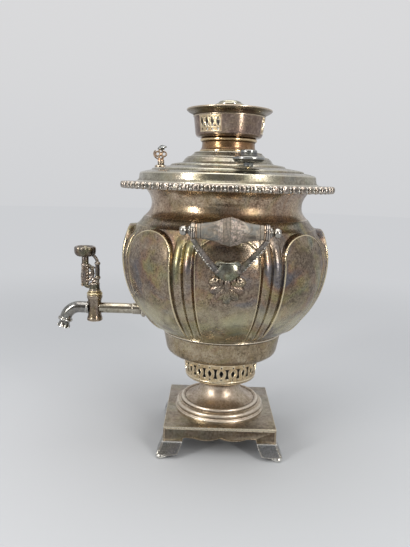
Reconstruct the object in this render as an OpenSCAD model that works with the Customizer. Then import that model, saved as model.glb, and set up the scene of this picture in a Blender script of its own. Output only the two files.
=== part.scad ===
// Samovar: a charcoal-fired hot-water urn with a fluted body, a plug tap, a lift-off lid,
// a crown that holds the teapot, and two carrying handles.
// The origin is on the vertical axis at the plane it stands on. +Z is up, the tap points
// along -Y and the handles stand on +X and -X. All sizes are millimetres.

/* [Plinth and feet] */
// Side of the square plinth
plinth_side = 147; // [135:1:160]
// Height of the plinth from the tops of the feet
plinth_h = 20.5; // [16:0.5:28]
// Sheet thickness of the plinth and its feet
plinth_t = 1.8; // [1.4:0.1:2.4]
// Width of one apron lobe
lobe_w = 36; // [28:1:40]
// How far a lobe hangs below the top of the apron arch
lobe_drop = 3.6; // [2:0.2:4.4]
// Height of the apron arch above the tops of the feet
arch_h = 4.8; // [4.6:0.2:9]
// Height of each corner foot
foot_h = 21; // [17:0.5:28]
// Width of a foot along the side of the plinth
foot_w = 25; // [20:0.5:30]
// How far a foot flares out past the plinth
foot_flare = 9.5; // [6:0.5:13]
// Radius of the round pad in each foot
pad_r = 7; // [5.5:0.5:8]
// Height of the round pad
pad_h = 8.5; // [6:0.5:11]

/* [Pedestal] */
// Height of the pedestal from the plinth to the gallery
pedestal_h = 44.5; // [38:0.5:56]
// Radius of the stepped round foot
pedestal_foot_r = 62; // [57:0.5:66]
// Height of the stepped mouldings of the round foot
pedestal_step_h = 16.2; // [15:0.2:20]
// Radius of the waist
pedestal_neck_r = 27; // [22:0.5:32]
// Radius of the seat under the gallery
pedestal_top_r = 32; // [28:0.5:38]
// Sheet thickness of the pedestal
pedestal_t = 1.8; // [1.2:0.1:2.4]

/* [Gallery] */
// Height of the pierced gallery
gallery_h = 35; // [31:0.5:42]
// Radius of the gallery at the bottom
gallery_foot_r = 48.5; // [45:0.5:51]
// Radius of the gallery at the top
gallery_top_r = 51.3; // [49:0.1:53]
// Sheet thickness of the gallery
gallery_t = 1.6; // [1.2:0.1:2.4]
// Number of oval air holes round the gallery
gallery_n = 20; // [16:1:21]
// Height of an oval air hole
oval_h = 9.4; // [6:0.2:11]
// Width of an oval air hole
oval_w = 4.8; // [3:0.2:5.4]
// Height of an hourglass hole between two ovals
glass_h = 13.6; // [10:0.2:15]
// Width of an hourglass hole at its ends
glass_w = 5.4; // [3:0.2:6]
// Width of an hourglass hole at its waist
glass_waist = 2.4; // [1:0.2:2.6]
// Height of the middle of the holes above the foot of the gallery
gallery_band_up = 19.2; // [17:0.2:21]
// Radius of the ash pan
ash_pan_r = 44; // [40:0.5:46]

/* [Bowl and fluted wall] */
// Sheet thickness of the bowl and the fluted wall
body_t = 1.6; // [1.2:0.1:2.2]
// Height of the plain bowl below the fluted wall
bowl_h = 37; // [32:0.5:46]
// Radius of the flat floor of the bowl
bowl_floor_r = 54; // [53:0.5:57]
// Radius of the upright side of the bowl
bowl_r = 79.5; // [76:0.5:81]
// Radius where the bowl meets the fluted wall
waist_r = 82.5; // [81:0.5:85]
// Height of the fluted wall
wall_h = 187; // [180:1:200]
// Largest radius of the fluted wall
belly_r = 138; // [132:0.5:146]
// Height of the largest radius above the foot of the wall
belly_up = 100; // [92:1:106]
// Radius at the top of the panels
shoulder_r = 128.5; // [126:0.5:131]
// Height of the top of the panels above the foot of the wall
shoulder_up = 140; // [136:1:144]
// Radius of the throat under the rim
neck_r = 99.5; // [94:0.5:102]
// Height of the throat above the foot of the wall
neck_up = 168; // [162:1:173]
// Radius of the mouth at the rim
mouth_r = 108.5; // [106:0.5:112]
// Number of panels round the body
panel_n = 8; // [6:1:10]
// Half angle of one panel
panel_half = 16.4; // [14:0.2:16.8]
// How far a panel stands out of the wall behind it
panel_raise = 4.2; // [2:0.2:6]
// Height of the round arch at the top of a panel
arch_up = 27; // [15:1:40]
// How far a rib stands out of the wall behind it
rib_raise = 4; // [2:0.2:5.5]
// Bore of the tap hole in the wall
tap_hole_d = 18; // [17.8:0.2:19]

/* [Rim] */
// Thickness of the rim plate
rim_t = 3; // [2:0.2:4]
// Width from the edge of the lid to the outside of the beads
rim_channel = 19.9; // [17:0.1:24]
// Number of beads round the rim
bead_n = 68; // [56:1:72]
// Height of the beads
bead_h = 9; // [7:0.5:11]
// Radius of one bead seen from above
bead_r = 3.7; // [3:0.1:4.2]

/* [Fire tube and grate] */
// Outer radius at the foot of the fire tube
tube_foot_r = 45.5; // [43:0.5:47]
// Outer radius of the chimney end of the fire tube
tube_top_r = 30.4; // [29.6:0.2:31.4]
// Sheet thickness of the fire tube
tube_t = 1.2; // [1:0.1:1.8]
// How far the fire tube stands up inside the crown
tube_in_crown = 10; // [6:0.5:13]
// Thickness of the grate
grate_t = 4; // [3:0.5:6]
// Width of one slot in the grate
grate_slot = 4; // [2.5:0.5:5]

/* [Lid] */
// Sheet thickness of the lid
lid_t = 1.6; // [1.2:0.1:2]
// Radius of the base band of the lid
lid_r = 120.6; // [117:0.2:124]
// How far the upright part of the base band stands in from the edge of the lid
lid_step1_in = 5; // [4.6:0.2:6]
// How far the middle step stands in from the edge of the lid
lid_step2_in = 21.2; // [19:0.2:23]
// How far the top step stands in from the edge of the lid
lid_step3_in = 45.9; // [44:0.1:48]
// How far the foot of the dome stands in from the edge of the lid
lid_dome_in = 60.2; // [58:0.2:62]
// Height of the lid from its seat to the crown
lid_h = 46.4; // [44:0.2:52]
// Radius of the land that carries the crown
lid_land_r = 38.2; // [37.8:0.2:39]
// Turn of the lid fittings about the axis
lid_turn = 13; // [0:1:40]
// Distance of the lid knobs from the axis
knob_out = 93.5; // [92:0.5:96]
// Radius of a lid knob
knob_r = 18.8; // [15:0.2:19.4]
// Height of a lid knob above the lid
knob_h = 21; // [17:0.5:26]
// Distance of the steam vent from the axis
vent_out = 89; // [86:0.2:92]
// Outer radius of the vent tube
vent_r = 4.4; // [4:0.1:5.4]
// Bore of the vent tube
vent_bore_d = 5; // [4:0.1:5.4]
// Width of the pierced rosette of the vent
rosette_d = 13.6; // [12:0.2:17]

/* [Crown and cap] */
// Height of the crown from the lid to its brim
crown_h = 53.6; // [50:0.2:62]
// Height of the neck of the crown
crown_neck_h = 17.6; // [16:0.2:20]
// Outer radius of the foot of the crown
crown_foot_r = 37.7; // [37.2:0.1:37.8]
// Outer radius of the neck of the crown
crown_neck_r = 34.6; // [34.4:0.1:35.6]
// Radius of the cup of the crown at its top
cup_r = 46.6; // [45:0.2:49]
// Outer radius of the brim
brim_r = 56.1; // [53:0.2:60]
// Sheet thickness of the crown
crown_t = 1.6; // [1.2:0.1:1.8]
// Radius of the smoke hole in the floor of the crown
smoke_r = 24; // [20:0.5:27]
// Width of one pierced window of the crown, along the curve
window_w = 33; // [26:1:36]
// Height of a pierced window
window_h = 20; // [16:0.5:21]
// Radius of the disc of the chimney cap
cap_r = 30; // [28.5:0.5:33]
// Radius of the button on the chimney cap
button_r = 18.7; // [14:0.1:22]
// Height of the button top above the brim
button_up = 12; // [8:0.5:20]

/* [Handles] */
// Distance from the belly to the middle of the grip
grip_gap = 32; // [29:0.5:38]
// Height of the grip above the table
grip_z = 305; // [298:1:312]
// Length of the grip
grip_len = 70; // [62:1:84]
// Radius of the grip at its middle
grip_r = 15.5; // [12:0.5:17]
// Radius of the grip at its ends
grip_end_r = 7.8; // [6.5:0.1:8.5]
// Radius of the rod through the grip
rod_r = 2.5; // [2:0.1:3]
// Radius of the eyes at the ends of the arms
eye_r = 9; // [8.6:0.1:11]
// Thickness of an eye
eye_t = 5.6; // [4:0.2:7]
// Radius of the arms
arm_r = 3.6; // [2.8:0.1:4]
// Height of the foot of the arms above the table
arm_foot_z = 262; // [257:1:267]
// Height of the middle of the shield on the wall
shield_z = 243; // [238:1:247]
// Length of the longest leaf of the shield
leaf_len = 25; // [21:0.5:27]
// Radius of an end nut
nut_r = 4.6; // [4:0.1:6]
// Length of an end nut
nut_len = 10; // [8:0.5:14]
// Radius of a shield rivet
rivet_r = 2; // [1.5:0.1:2.5]

/* [Tap] */
// Distance of the plug axis from the axis of the samovar
tap_out = 177.2; // [168:0.2:190]
// Height of the tap pipe above the table
tap_z = 179; // [176:0.5:184]
// Outer radius of the tap pipe
pipe_r = 7.2; // [6.6:0.1:7.6]
// Bore of the waterway through pipe and spout
waterway_d = 8; // [6:0.2:8.8]
// Outer radius of the barrel
barrel_r = 10.6; // [9.8:0.1:12]
// Height of the barrel
barrel_h = 36.3; // [30:0.1:44]
// Diameter of the plug in the barrel
plug_d = 12.4; // [11:0.1:13]
// Radial running clearance of the plug in the barrel
plug_fit = 0.05; // [0.02:0.01:0.1]
// Height of the brass collar on the barrel
collar_h = 6; // [4:0.2:8]
// Radius of the spout pipe
spout_r = 8; // [6.4:0.1:8.2]
// Bend radius of the spout
spout_bend = 20; // [16:0.5:26]
// Angle that the spout turns down
spout_drop = 75; // [60:1:84]
// Distance from the plug axis to the start of the spout's bend
spout_run = 21; // [18:0.5:28]
// Straight length of the spout after the bend
spout_tail = 14; // [10:0.5:20]
// Number of notches in the lip of the spout
lip_n = 6; // [0:1:8]
// Height of the key from the collar to the top of its head
key_h = 62; // [56:0.5:72]
// Radius of the round head of the key
key_head_r = 14.8; // [11:0.1:16]
// Height of the round head of the key
key_head_h = 15; // [10:0.5:18]
// How far the head leans from the plug axis
key_lean = 12.8; // [8:0.2:16]
// Thickness of the openwork of the key
key_t = 5; // [4:0.2:7]

/* [Hidden] */
$fn = 72;

// Levels of the stack, each from the piece below it
plinth_top = foot_h + plinth_h;
gallery_z = plinth_top + pedestal_h;
bowl_z = gallery_z + gallery_h;
wall_z = bowl_z + bowl_h;
rim_z = wall_z + wall_h;
lid_z = rim_z + rim_t;
crown_z = lid_z + lid_h;
brim_z = crown_z + crown_h;
tube_top_z = crown_z + tube_in_crown;
cup_z = crown_z + crown_neck_h;

// Radii that follow their neighbours
rim_r = lid_r + rim_channel;
lid_step1_r = lid_r - lid_step1_in;
lid_step2_r = lid_r - lid_step2_in;
lid_step3_r = lid_r - lid_step3_in;
lid_dome_r = lid_r - lid_dome_in;
grip_out = belly_r + grip_gap;

// A small overlap that keeps cuts clean
cut = 0.5;

// Colours
SILVER = [0.62, 0.57, 0.50];
LID_SILVER = [0.60, 0.60, 0.54];
COPPER = [0.55, 0.36, 0.25];
CREAM = [0.80, 0.74, 0.62];
BRIGHT = [0.80, 0.80, 0.78];
BRASS = [0.72, 0.58, 0.30];
IRON = [0.20, 0.19, 0.18];
HORN = [0.42, 0.38, 0.33];

// ---------------------------------------------------------------- outlines
// Points of an arc about [cr, cz]
function arc(cr, cz, r, from, to, n = 8) =
    [for (i = [0:n]) let (a = from + (to - from) * i / n) [cr + r * cos(a), cz + r * sin(a)]];

// Points of a cubic curve from a to d, without its first point
function curve(a, b, c, d, n = 10) =
    [for (i = [1:n]) let (t = i / n, s = 1 - t)
        s * s * s * a + 3 * s * s * t * b + 3 * s * t * t * c + t * t * t * d];

// Outward unit normal of a stretch of an outline, to the right of its direction
function side(a, b) = let (d = b - a) [d.y, -d.x] / norm(d);

// Mitred outward normal at point i of an outline
function mitre(p, i) =
    let (before = side(p[max(i - 1, 0)], p[max(i, 1)]))
    let (after = side(p[min(i, len(p) - 2)], p[min(i + 1, len(p) - 1)]))
    let (m = (before + after) / norm(before + after))
    m / max(m * after, 0.5);

// The same outline moved inwards by t
function inset(p, t) = [for (i = [0:len(p) - 1]) p[i] - t * mitre(p, i)];

// A list in reverse order
function reversed(p) = [for (i = [len(p) - 1:-1:0]) p[i]];

// Radius of a list of rising [radius, height] points at height z
function radius_at(p, z) = lookup(z, [for (q = p) [q.y, q.x]]);

// Sheet of thickness t spun about Z, with its outside on the given outline
module spun_sheet(outline, t) {
    rotate_extrude($fn = 96) polygon(concat(outline, reversed(inset(outline, t))));
}

// Solid spun about Z from an outline that starts and ends on the axis or is closed
module turned(outline) {
    rotate_extrude($fn = 64) polygon(outline);
}

// Straight round bar between two points, with radius r at the first and r_end at the second
module bar(a, b, r, r_end) {
    d = b - a;
    translate(a) rotate([0, acos(d.z / norm(d)), atan2(d.y, d.x)])
        cylinder(h = norm(d), r1 = r, r2 = r_end);
}

// Pointed oval, as wide as w and as high as h, along Y
module pointed_oval(w, h) {
    r = (h * h / 4 + w * w / 4) / w;
    intersection() {
        translate([r - w / 2, 0]) circle(r);
        translate([w / 2 - r, 0]) circle(r);
    }
}

// Children copied n times round the Z axis, starting at angle from
module ring_of(n, from = 0) {
    for (i = [0:n - 1]) rotate([0, 0, from + 360 * i / n]) children();
}

// A flat outline stood up so that it faces along +X, with its Y axis along Z
module stand_out(x0, x1, z) {
    translate([x0, 0, z]) rotate([90, 0, 90]) linear_extrude(x1 - x0) children();
}

// ---------------------------------------------------------------- plinth and feet
foot_edge = plinth_side / 2 - foot_w;
lobe_r = (lobe_w * lobe_w / 4 + lobe_drop * lobe_drop) / (2 * lobe_drop);
apron_round = 4;

// Opening under the apron, between the feet
module apron_gap() {
    difference() {
        union() {
            translate([-foot_edge, -cut]) square([2 * foot_edge, arch_h - apron_round + cut]);
            translate([apron_round - foot_edge, -cut])
                square([2 * (foot_edge - apron_round), arch_h + cut]);
            for (s = [-1, 1])
                translate([s * (foot_edge - apron_round), arch_h - apron_round])
                    circle(apron_round);
        }
        for (s = [-1, 1])
            translate([s * lobe_w / 2, arch_h - lobe_drop + lobe_r]) circle(lobe_r);
    }
}

// One side of the plinth, cut to the lobed outline
module apron() {
    difference() {
        translate([-plinth_side / 2, 0]) square([plinth_side, plinth_h]);
        apron_gap();
    }
}

module plinth() {
    color(SILVER) union() {
        translate([0, 0, plinth_top - plinth_t / 2])
            cube([plinth_side, plinth_side, plinth_t], center = true);
        ring_of(4)
            translate([0, plinth_t - plinth_side / 2, foot_h])
                rotate([90, 0, 0]) linear_extrude(plinth_t) apron();
    }
}

// Flare of a foot: how far its face stands out at height z
function flare(z) = foot_flare * pow(1 - z / foot_h, 1.3);

// Cross-section of a foot moulding, set back by b
module foot_section(b) {
    levels = 8;
    polygon(concat([[foot_edge - cut, 0], [foot_edge - cut, foot_h]],
        [for (i = [levels:-1:0]) let (z = foot_h * i / levels) [plinth_side / 2 + flare(z) - b, z]]));
}

// Block with both faces flared and mitred at the corner
module foot_block(b) {
    reach = plinth_side;
    intersection() {
        translate([0, reach, 0]) rotate([90, 0, 0]) linear_extrude(reach) foot_section(b);
        mirror([1, -1, 0])
            translate([0, reach, 0]) rotate([90, 0, 0]) linear_extrude(reach) foot_section(b);
    }
}

// What the outline of a foot keeps, seen along Y
module foot_outline() {
    far = plinth_side / 2 + 2 * foot_flare;
    polygon([[foot_edge, foot_h], [foot_edge + 5.5, pad_h + 1], [far - 2 * foot_flare - 5, pad_h + 0.5],
        [far - 2 * foot_flare - 3, 0], [far, 0], [far, foot_h]]);
}

module corner_foot() {
    reach = plinth_side;
    pad_at = plinth_side / 2 + foot_flare - pad_r;
    union() {
        intersection() {
            difference() {
                foot_block(0);
                translate([0, 0, -cut]) foot_block(plinth_t);
                foot_block(plinth_t);
            }
            translate([0, reach, 0]) rotate([90, 0, 0]) linear_extrude(reach) foot_outline();
            mirror([1, -1, 0])
                translate([0, reach, 0]) rotate([90, 0, 0]) linear_extrude(reach) foot_outline();
        }
        translate([pad_at, pad_at, 0])
            turned(concat([[0, 0]], arc(pad_r - 2, 2, 2, -90, 0, 4),
                arc(pad_r - 3, pad_h - 3, 3, 0, 90, 6), [[0, pad_h]]));
    }
}

module foot_front_right() { color(SILVER) mirror([0, 1, 0]) corner_foot(); }
module foot_front_left() { color(SILVER) rotate([0, 0, 180]) corner_foot(); }
module foot_back_right() { color(SILVER) corner_foot(); }
module foot_back_left() { color(SILVER) mirror([1, 0, 0]) corner_foot(); }

// ---------------------------------------------------------------- pedestal and gallery
trumpet_r = pedestal_foot_r - 13.5;
trumpet_z = pedestal_step_h - 1.4;
function trumpet(out, n) = curve([trumpet_r - out, trumpet_z - out], [trumpet_r - 10 - out, trumpet_z + 1],
    [pedestal_neck_r + 1 - out, trumpet_z + 9], [pedestal_neck_r - out, pedestal_h - 8], n);

module pedestal() {
    bead = 3.4;
    step_r = pedestal_foot_r - 8.5;
    outside = concat([[pedestal_foot_r, 0], [pedestal_foot_r, 3], [pedestal_foot_r - 1.2, 4.2]],
        arc(pedestal_foot_r - bead - 1.6, 8.2, bead, -50, 90, 8),
        [[step_r, 12], [step_r, pedestal_step_h - 0.8], [step_r - 0.8, pedestal_step_h]],
        [[trumpet_r + 1.6, pedestal_step_h], [trumpet_r + 0.4, trumpet_z]],
        trumpet(0, 12),
        curve([pedestal_neck_r, pedestal_h - 8], [pedestal_neck_r, pedestal_h - 4],
            [pedestal_top_r, pedestal_h - 4], [pedestal_top_r, pedestal_h - 1], 6),
        [[pedestal_top_r, pedestal_h]]);
    inside = concat([[pedestal_neck_r - pedestal_t, pedestal_h]],
        reversed(trumpet(pedestal_t, 12)),
        [[trumpet_r - pedestal_t, trumpet_z - pedestal_t - 1], [step_r - 3, 7],
            [pedestal_foot_r - 5, 3.4], [pedestal_foot_r - 5, 0]]);
    color(SILVER) translate([0, 0, plinth_top])
        rotate_extrude($fn = 96) polygon(concat(outside, inside));
}

gallery_roll = 4;
gallery_band_z = gallery_z + gallery_band_up;
gallery_lip = 1;

// Hourglass outline of the holes between the ovals
module hourglass() {
    polygon([[-glass_w / 2, -glass_h / 2], [glass_w / 2, -glass_h / 2], [glass_waist / 2, 0],
        [glass_w / 2, glass_h / 2], [-glass_w / 2, glass_h / 2], [-glass_waist / 2, 0]]);
}

module gallery() {
    reach = gallery_top_r + 5;
    outside = concat([[pedestal_neck_r + 1, 0]],
        arc(gallery_foot_r - gallery_roll, gallery_roll, gallery_roll, -90, 0, 6),
        [[gallery_top_r, gallery_h - gallery_lip], [gallery_top_r, gallery_h]]);
    color(CREAM) difference() {
        translate([0, 0, gallery_z]) spun_sheet(outside, gallery_t);
        ring_of(gallery_n)
            stand_out(gallery_foot_r - 6, reach, gallery_band_z) pointed_oval(oval_w, oval_h);
        ring_of(gallery_n, 180 / gallery_n)
            stand_out(gallery_foot_r - 6, reach, gallery_band_z) hourglass();
    }
}

module ash_pan() {
    lip = 4;
    dish = [[0, 0], [ash_pan_r - lip, 0], [ash_pan_r, lip], [ash_pan_r, lip + 1],
        [ash_pan_r - 1, lip + 1], [ash_pan_r - lip - 0.6, gallery_t], [0, gallery_t]];
    color(IRON) translate([0, 0, gallery_z + gallery_t]) turned(dish);
}

// ---------------------------------------------------------------- bowl
module bowl() {
    floor_in = tube_foot_r;
    low_r = bowl_r - 3.1;
    low_z = bowl_h * 0.3;
    high_r = bowl_r + 0.8;
    high_z = bowl_h * 0.84;
    lip = 0.8;
    outside = concat([[floor_in, 0], [bowl_floor_r, 0]],
        curve([bowl_floor_r, 0], [bowl_floor_r + 12, 0.6], [low_r - 1.9, 3], [low_r, low_z], 12),
        curve([low_r, low_z], [low_r + 1.6, bowl_h * 0.54], [bowl_r, bowl_h * 0.76], [high_r, high_z], 6),
        curve([high_r, high_z], [high_r + 0.4, bowl_h - 3.5], [waist_r - 1.4, bowl_h - 1.6],
            [waist_r, bowl_h - lip], 4),
        [[waist_r, bowl_h]]);
    color(SILVER) translate([0, 0, bowl_z]) spun_sheet(outside, body_t);
}

// ---------------------------------------------------------------- fluted wall
// Outline of the middle of a panel, from the foot of the wall to its mouth
panel_line = concat([[waist_r, 0]],
    curve([waist_r, 0], [waist_r + 19.5, 9], [belly_r, 43], [belly_r, belly_up], 14),
    curve([belly_r, belly_up], [belly_r, belly_up + 14], [shoulder_r + 5, shoulder_up - 11],
        [shoulder_r, shoulder_up], 6),
    curve([shoulder_r, shoulder_up], [shoulder_r - 12.5, shoulder_up + 7.5],
        [neck_r, shoulder_up + 12], [neck_r, neck_up], 8),
    curve([neck_r, neck_up], [neck_r, neck_up + 7], [mouth_r - 5.5, wall_h - 5],
        [mouth_r, wall_h], 5));

// Height of a rib top, where the flutes fade in at the foot of the wall, how high above the
// shoulder they have faded out, and how much deeper they grow towards the shoulder
rib_top = shoulder_up - 3;
flute_foot = 2;
flute_full = 24;
flute_fade = 12;
shoulder_dip = 5;
throat_up = shoulder_up + flute_fade;

// Height below the shoulder over which a panel sinks back into the wall at the top of its arch
arch_close = arch_up * 0.15;

// Smooth step from 0 to 1
function ease(t) = let (u = min(max(t, 0), 1)) u * u * (3 - 2 * u);

// Depth of the wall behind the panels at height z
function back_off(z) = (1 - ease((z - shoulder_up) / flute_fade))
    * (panel_raise * ease((z - flute_foot) / (flute_full - flute_foot))
        + shoulder_dip * ease((z - belly_up) / (shoulder_up - belly_up)));

// Share of a panel's rise that is there at height z
function panel_share(z) = ease((shoulder_up - z) / arch_close);

// Half angle of a panel at height z: constant, then closing in a round arch
function panel_angle(z) = let (t = (z - shoulder_up + arch_up) / arch_up)
    panel_half * (t <= 0 ? 1 : sqrt(max(1 - t * t, 0.002)));

// Share of a rib's height that is there at height z
function rib_share(z) = ease((z - flute_foot) / (flute_full - flute_foot))
    * ease((rib_top - z) / 14);

// Columns of half a period: [angle at height z, rise above the wall behind]
pitch = 360 / panel_n;
rib_from = panel_half + 0.4;
rib_w = (pitch / 2 - rib_from);
function half_period(z) =
    let (a = panel_angle(z), p = back_off(z) * panel_share(z), r = rib_raise * rib_share(z))
    [[0, p], [0.55 * a, p * 0.99], [0.9 * a, p * 0.86], [a, 0], [rib_from, 0],
     [rib_from + rib_w * 0.22, r * 0.8], [rib_from + rib_w * 0.5, r], [rib_from + rib_w * 0.78, r * 0.8],
     [pitch / 2, 0]];
function period(z) = let (h = half_period(z), n = len(h) - 1)
    concat([for (i = [n:-1:1]) [-h[i][0], h[i][1]]], [for (i = [0:n - 1]) h[i]]);
columns = len(period(0));

// Points of one level of the wall, at height z, set inwards by t
function wall_level(z, t) = [for (k = [0:panel_n - 1]) for (c = period(z))
    let (r = radius_at(panel_line, z) - back_off(z) + c[1] - t, a = c[0] + k * pitch)
    [r * cos(a), r * sin(a), z]];

// Heights of the levels: close where the outline turns fast
foot_top = 29;
arch_foot = shoulder_up - arch_up;
outer_levels = concat([for (f = [0, 0.13, 0.33, 0.62]) foot_top * f],
    [for (i = [0:5]) foot_top + (arch_foot - foot_top) * i / 5],
    [for (f = [0.25, 0.5, 0.7, 0.85, 1]) arch_foot + arch_up * f],
    [shoulder_up + flute_fade * 0.45, throat_up]);
inner_levels = concat([for (f = [0, 0.18, 0.55]) foot_top * f],
    [for (i = [0:3]) foot_top + (shoulder_up - flute_fade - foot_top) * i / 3],
    [shoulder_up - arch_close, shoulder_up, shoulder_up + flute_fade / 2, throat_up]);

// Triangles between level rings a and b of n points, outside facing out
function ring_faces(a, b, n) = [for (i = [0:n - 1]) let (j = (i + 1) % n)
    for (f = [[a + i, b + i, a + j], [a + j, b + i, b + j]]) f];

// Closed shell from outer levels going up and inner levels coming down
module fluted_shell(outer, inner, t) {
    n = columns * panel_n;
    levels = concat([for (z = outer) wall_level(z, 0)], [for (z = reversed(inner)) wall_level(z, t)]);
    rows = len(levels);
    polyhedron(points = [for (l = levels) each l],
        faces = [for (k = [0:rows - 1]) each ring_faces(k * n, ((k + 1) % rows) * n, n)]);
}

// Solid piece of the wall's outside near a handle or the tap, to fit castings against it
module wall_patch(angle, z0, z1, depth) {
    near = [for (z = outer_levels) if (z >= z0 && z <= z1) z];
    n = columns + 1;
    start = (round(angle / pitch) * columns - floor(columns / 2) + columns * panel_n)
        % (columns * panel_n);
    function strip(z, t) = let (l = wall_level(z, t), first = start + columns / 2)
        [for (i = [0:n - 1]) l[(first + i) % len(l)]];
    rows = len(near);
    pts = concat([for (z = near) each strip(z, 0)], [for (z = near) each strip(z, depth)]);
    back = rows * n;
    polyhedron(points = pts, faces = concat(
        [for (k = [0:rows - 2]) for (i = [0:n - 2]) let (a = k * n + i, b = a + n)
            for (f = [[a, b, a + 1], [a + 1, b, b + 1]]) f],
        [for (k = [0:rows - 2]) for (i = [0:n - 2]) let (a = back + k * n + i, b = a + n)
            for (f = [[a, a + 1, b], [a + 1, b + 1, b]]) f],
        [for (i = [0:n - 2]) for (f = [[i, i + 1, back + i], [i + 1, back + i + 1, back + i]]) f],
        [for (i = [0:n - 2]) let (a = (rows - 1) * n + i, b = back + a)
            for (f = [[a, b, a + 1], [a + 1, b, b + 1]]) f],
        [for (k = [0:rows - 2]) let (a = k * n, b = a + n)
            for (f = [[a, back + a, b], [b, back + a, back + b]]) f],
        [for (k = [0:rows - 2]) let (a = k * n + n - 1, b = a + n)
            for (f = [[a, b, back + a], [b, back + b, back + a]]) f]));
}

tap_at_wall = radius_at(panel_line, tap_z - wall_z);
tap_inside = 16;
rivet_reach = 20;
rivet_grip = 3;
rivet_zs = [shield_z - 10, shield_z + 10];

module body_wall() {
    color(SILVER) difference() {
        translate([0, 0, wall_z]) fluted_shell(outer_levels, inner_levels, body_t);
        translate([0, -tap_at_wall + 2 * tap_inside, tap_z])
            rotate([90, 0, 0]) cylinder(h = 4 * tap_inside, d = tap_hole_d);
        for (s = [-1, 1]) for (z = rivet_zs)
            translate([s * (belly_r - rivet_reach), 0, z])
                rotate([0, s * 90, 0]) cylinder(h = 2 * rivet_reach, r = rivet_r);
    }
}

// Plain waist between the flutes and the rim, joined to the fluted wall where they have faded out
module throat() {
    outside = concat([[radius_at(panel_line, throat_up), throat_up]],
        [for (q = panel_line) if (q.y > throat_up + cut) q]);
    color(COPPER) translate([0, 0, wall_z]) rotate_extrude($fn = 96)
        polygon(concat(outside, reversed([for (q = outside) [q.x - body_t, q.y]])));
}

// ---------------------------------------------------------------- rim
rim_lip = 2;

module rim_plate() {
    inner_r = mouth_r - body_t - rim_lip;
    plate = [[inner_r, 0], [rim_r - 2 * bead_r, 0], [rim_r - 2 * bead_r, rim_t], [inner_r, rim_t]];
    color(SILVER) translate([0, 0, rim_z]) turned(plate);
}

module bead_border() {
    bead_low = rim_z + rim_t / 2 + 0.2 - bead_h / 4;
    inner_r = rim_r - 2 * bead_r;
    color(BRIGHT) intersection() {
        translate([0, 0, bead_low - cut]) linear_extrude(bead_h + 2 * cut) difference() {
            union() {
                circle(rim_r - bead_r * 0.8);
                ring_of(bead_n) translate([rim_r - bead_r, 0]) circle(bead_r);
            }
            circle(inner_r);
        }
        translate([0, 0, bead_low])
            turned(concat([[inner_r, 0]], arc(rim_r - bead_h / 2, bead_h / 2, bead_h / 2, -90, 90, 10),
                [[inner_r, bead_h]]));
    }
}

// ---------------------------------------------------------------- fire tube and grate
tube_ledge = 3;

module fire_tube() {
    rise = tube_top_z - bowl_z;
    foot = [[tube_foot_r, 0], [tube_foot_r, body_t]];
    flange = [[tube_foot_r + 4, body_t], [tube_foot_r + 4, 2 * body_t], [tube_foot_r, 2 * body_t]];
    inside = [[tube_top_r - tube_t, rise], [tube_foot_r - tube_t, body_t + 1],
        [tube_foot_r - tube_t - tube_ledge, body_t + 1], [tube_foot_r - tube_t - tube_ledge, 0]];
    color(IRON) translate([0, 0, bowl_z]) turned(concat(foot, flange, [[tube_top_r, rise]], inside));
}

module grate() {
    r = tube_foot_r - tube_t - 0.5;
    pitch_x = 2 * grate_slot;
    color(IRON) translate([0, 0, bowl_z + body_t + 1]) difference() {
        cylinder(h = grate_t, r = r);
        for (i = [-4:4]) let (half = sqrt(max(pow(r - 4, 2) - pow(i * pitch_x, 2), 0)))
            if (half > 6)
                translate([i * pitch_x - grate_slot / 2, -half + 1, -cut])
                    cube([grate_slot, 2 * half - 2, grate_t + 2 * cut]);
    }
}

// ---------------------------------------------------------------- lid
ring1_z = 17.5;
ring2_z = 22.8;
ring3_z = 28.9;
dome_z = 31.6;
riser = 2.1;
edge_r = 1;

// Outline of the lid's outside above its seat, from the base band to the crown's land
lid_line = concat([[lid_r, 0], [lid_r, 5.6], [lid_r - 1.6, 6.8]],
    curve([lid_r - 1.6, 6.8], [lid_r - 3.6, 7.6], [lid_step1_r + 0.8, 9.5], [lid_step1_r + 0.6, 12], 4),
    [[lid_step1_r, ring1_z - edge_r], [lid_step1_r - edge_r, ring1_z]],
    curve([lid_step1_r - edge_r, ring1_z], [lid_step1_r - 5, ring1_z + 1.3],
        [lid_step2_r + 6, ring2_z - riser - 0.3], [lid_step2_r + edge_r, ring2_z - riser], 4),
    [[lid_step2_r, ring2_z], [lid_step2_r - edge_r, ring2_z + 0.5]],
    curve([lid_step2_r - edge_r, ring2_z + 0.5], [lid_step2_r - 9, ring2_z + 1.9],
        [lid_step3_r + 8, ring3_z - riser - 0.6], [lid_step3_r + 1.8, ring3_z - riser], 5),
    [[lid_step3_r, ring3_z], [lid_step3_r - edge_r, ring3_z + 0.5], [lid_dome_r, dome_z]],
    curve([lid_dome_r, dome_z], [lid_dome_r - 2.6, dome_z + 1.6], [lid_dome_r - 3, dome_z + 5.4],
        [lid_dome_r - 6.6, dome_z + 6.8], 5),
    curve([lid_dome_r - 6.6, dome_z + 6.8], [lid_dome_r - 8.6, dome_z + 7], [lid_land_r + 9, lid_h - 3.6],
        [lid_land_r + 5.7, lid_h - 1.9], 5),
    [[lid_land_r + 4.6, lid_h - 1.2], [lid_land_r, lid_h]]);

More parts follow.
